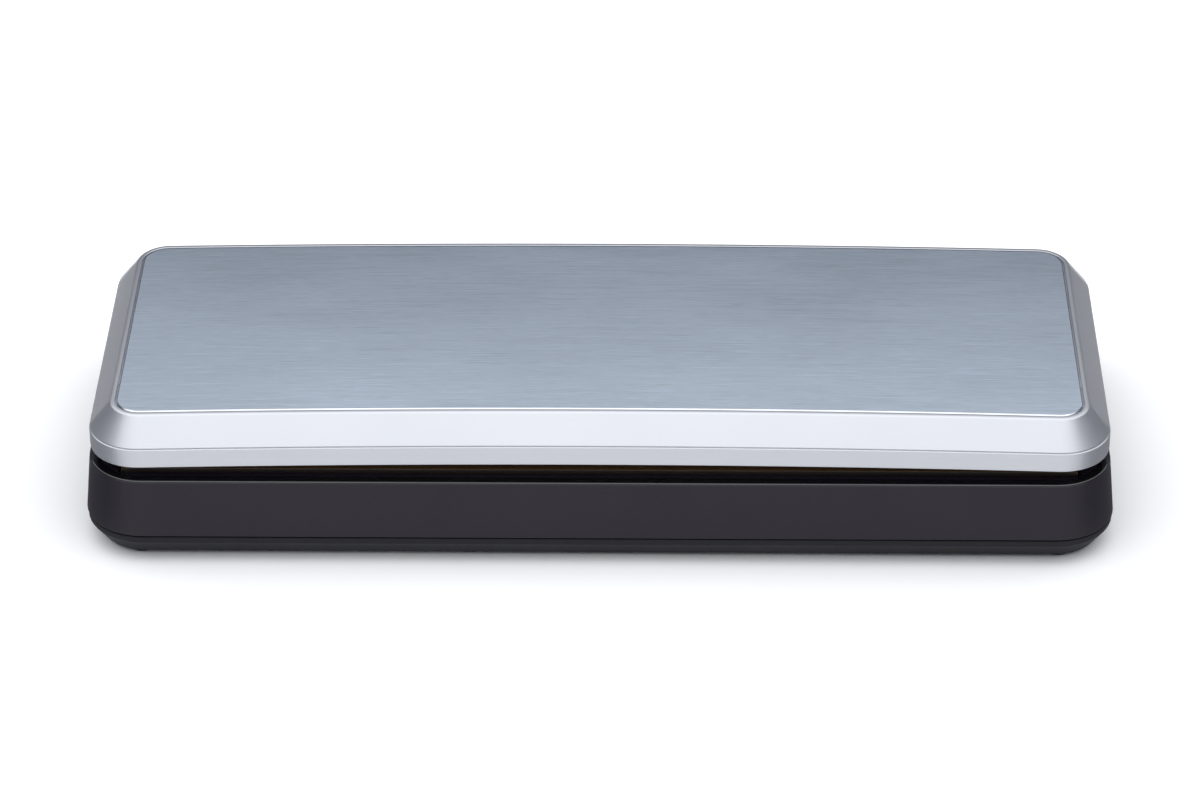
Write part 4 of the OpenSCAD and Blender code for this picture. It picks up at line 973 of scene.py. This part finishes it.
# %% Floor
floor = meshed("floor", [[(-8, -8, 0), (8, -8, 0), (8, 8, 0), (-8, 8, 0)]], [(0, 1, 2, 3)])
table_white, add, link = finish("table white", (0.95, 0.95, 0.95), 0.9, Specular_IOR_Level=0.0,
                                Emission_Color=(1.0, 1.0, 1.0, 1.0))
on_floor = add("TexCoord").outputs["Object"]
distance_out = add("VectorMath", {0: on_floor}, operation="LENGTH").outputs["Value"]
far = add("MapRange", {"Value": distance_out, "From Min": 0.42, "From Max": 2.20},
          interpolation_type="SMOOTHSTEP").outputs["Result"]
link("Base Color", tint(add, far, (0.95, 0.95, 0.95), (0.60, 0.61, 0.63), 0.0, 1.0))
rays = add("LightPath").outputs
seen = combined(add, "MAXIMUM", rays["Is Camera Ray"], rays["Is Glossy Ray"])
seen = combined(add, "MAXIMUM", seen, rays["Is Transmission Ray"])
rearward = add("SeparateXYZ", {"Vector": on_floor}).outputs["Y"]
behind = add("MapRange", {"Value": rearward, "From Min": -0.05, "From Max": 0.30, "To Max": 0.55},
             interpolation_type="SMOOTHSTEP").outputs["Result"]
glow = add("Mix", {0: far, 2: behind, 3: 0.50}, data_type="FLOAT").outputs[0]
link("Emission Strength", combined(add, "MULTIPLY", seen, glow))
floor.data.materials.append(table_white)

# %% [markdown]
# ## Grey cards
# A silver part with only white round it looks flat, and the ends of a black one look as pale as its front. So
# a low grey card stands at each end, with a flap on the table by the front corner. The end bevels mirror the
# card, the rounded ends of the base mirror the flap, and both turn darker. Painted ends would look wrong from
# any other side. The cards show in reflections only.

# %% Grey cards
card_x, card_ends, card_top = 0.262, (-0.14, 0.42), 0.06
flap_x, flap_ends, flap_z = (0.190, card_x), (-0.105, 0.035), 0.0004
card_grey, add, link = finish("grey card", (0.27, 0.27, 0.29), 0.9, Specular_IOR_Level=0.0)
link("Base Color", tint(add, noise(add, (300, 300, 300)), (0.26, 0.26, 0.28), (0.28, 0.28, 0.30)))
for side in (-1, 1):
    corners = [(side * card_x, y, z) for z in (0.0, card_top) for y in card_ends]
    corners += [(side * x, y, flap_z) for x in flap_x for y in flap_ends]
    card = meshed("grey card", [corners], [(0, 1, 3, 2), (4, 5, 7, 6)])
    card.data.materials.append(card_grey)
    card.visible_camera = card.visible_diffuse = card.visible_shadow = card.visible_transmission = False
print("grey cards %.0f mm from the middle" % (card_x / MM))

# %% [markdown]
# ## Studio light
# Metal shows what it mirrors, so the places of the lamps decide the look. A large soft box leans over the
# machine from the front and brightens the front bevel and the rim. A wide panel overhead fills the top and
# the rear. The plate mirrors the grey room between them. Each lamp's power is worked out from its size, so it
# looks equally bright when made larger. One small lamp would leave hard spots.

# %% Soft boxes and room
def soft_box(name, width, front, rear, radiance):
    """A rectangular lamp from its front edge to its rear edge."""
    depth = (rear - front).length
    lamp = bpy.data.lights.new(name, "AREA")
    lamp.shape = "RECTANGLE"
    lamp.size, lamp.size_y = width, depth
    lamp.energy = radiance * math.pi * width * depth
    box = placed(name, lamp)
    tilt = math.atan2(rear.z - front.z, rear.y - front.y)
    box.matrix_world = Matrix.Translation((front + rear) / 2) @ Matrix.Rotation(tilt, 4, "X")
    box.visible_camera = False
    print("%s, W: %.1f" % (name, lamp.energy))


soft_box("large soft box", 1.22, Vector((0.0, -1.35, 0.66)), Vector((0.0, 0.27, 0.28)), 1.18)
soft_box("overhead panel", 1.60, Vector((-0.10, -0.75, 0.62)), Vector((-0.10, 0.10, 0.62)), 0.62)

room_colour = (0.165, 0.180, 0.215)
room = bpy.data.worlds.new("grey room")
room.use_nodes = True
room.node_tree.nodes["Background"].inputs["Color"].default_value = (*room_colour, 1.0)
bpy.context.scene.world = room
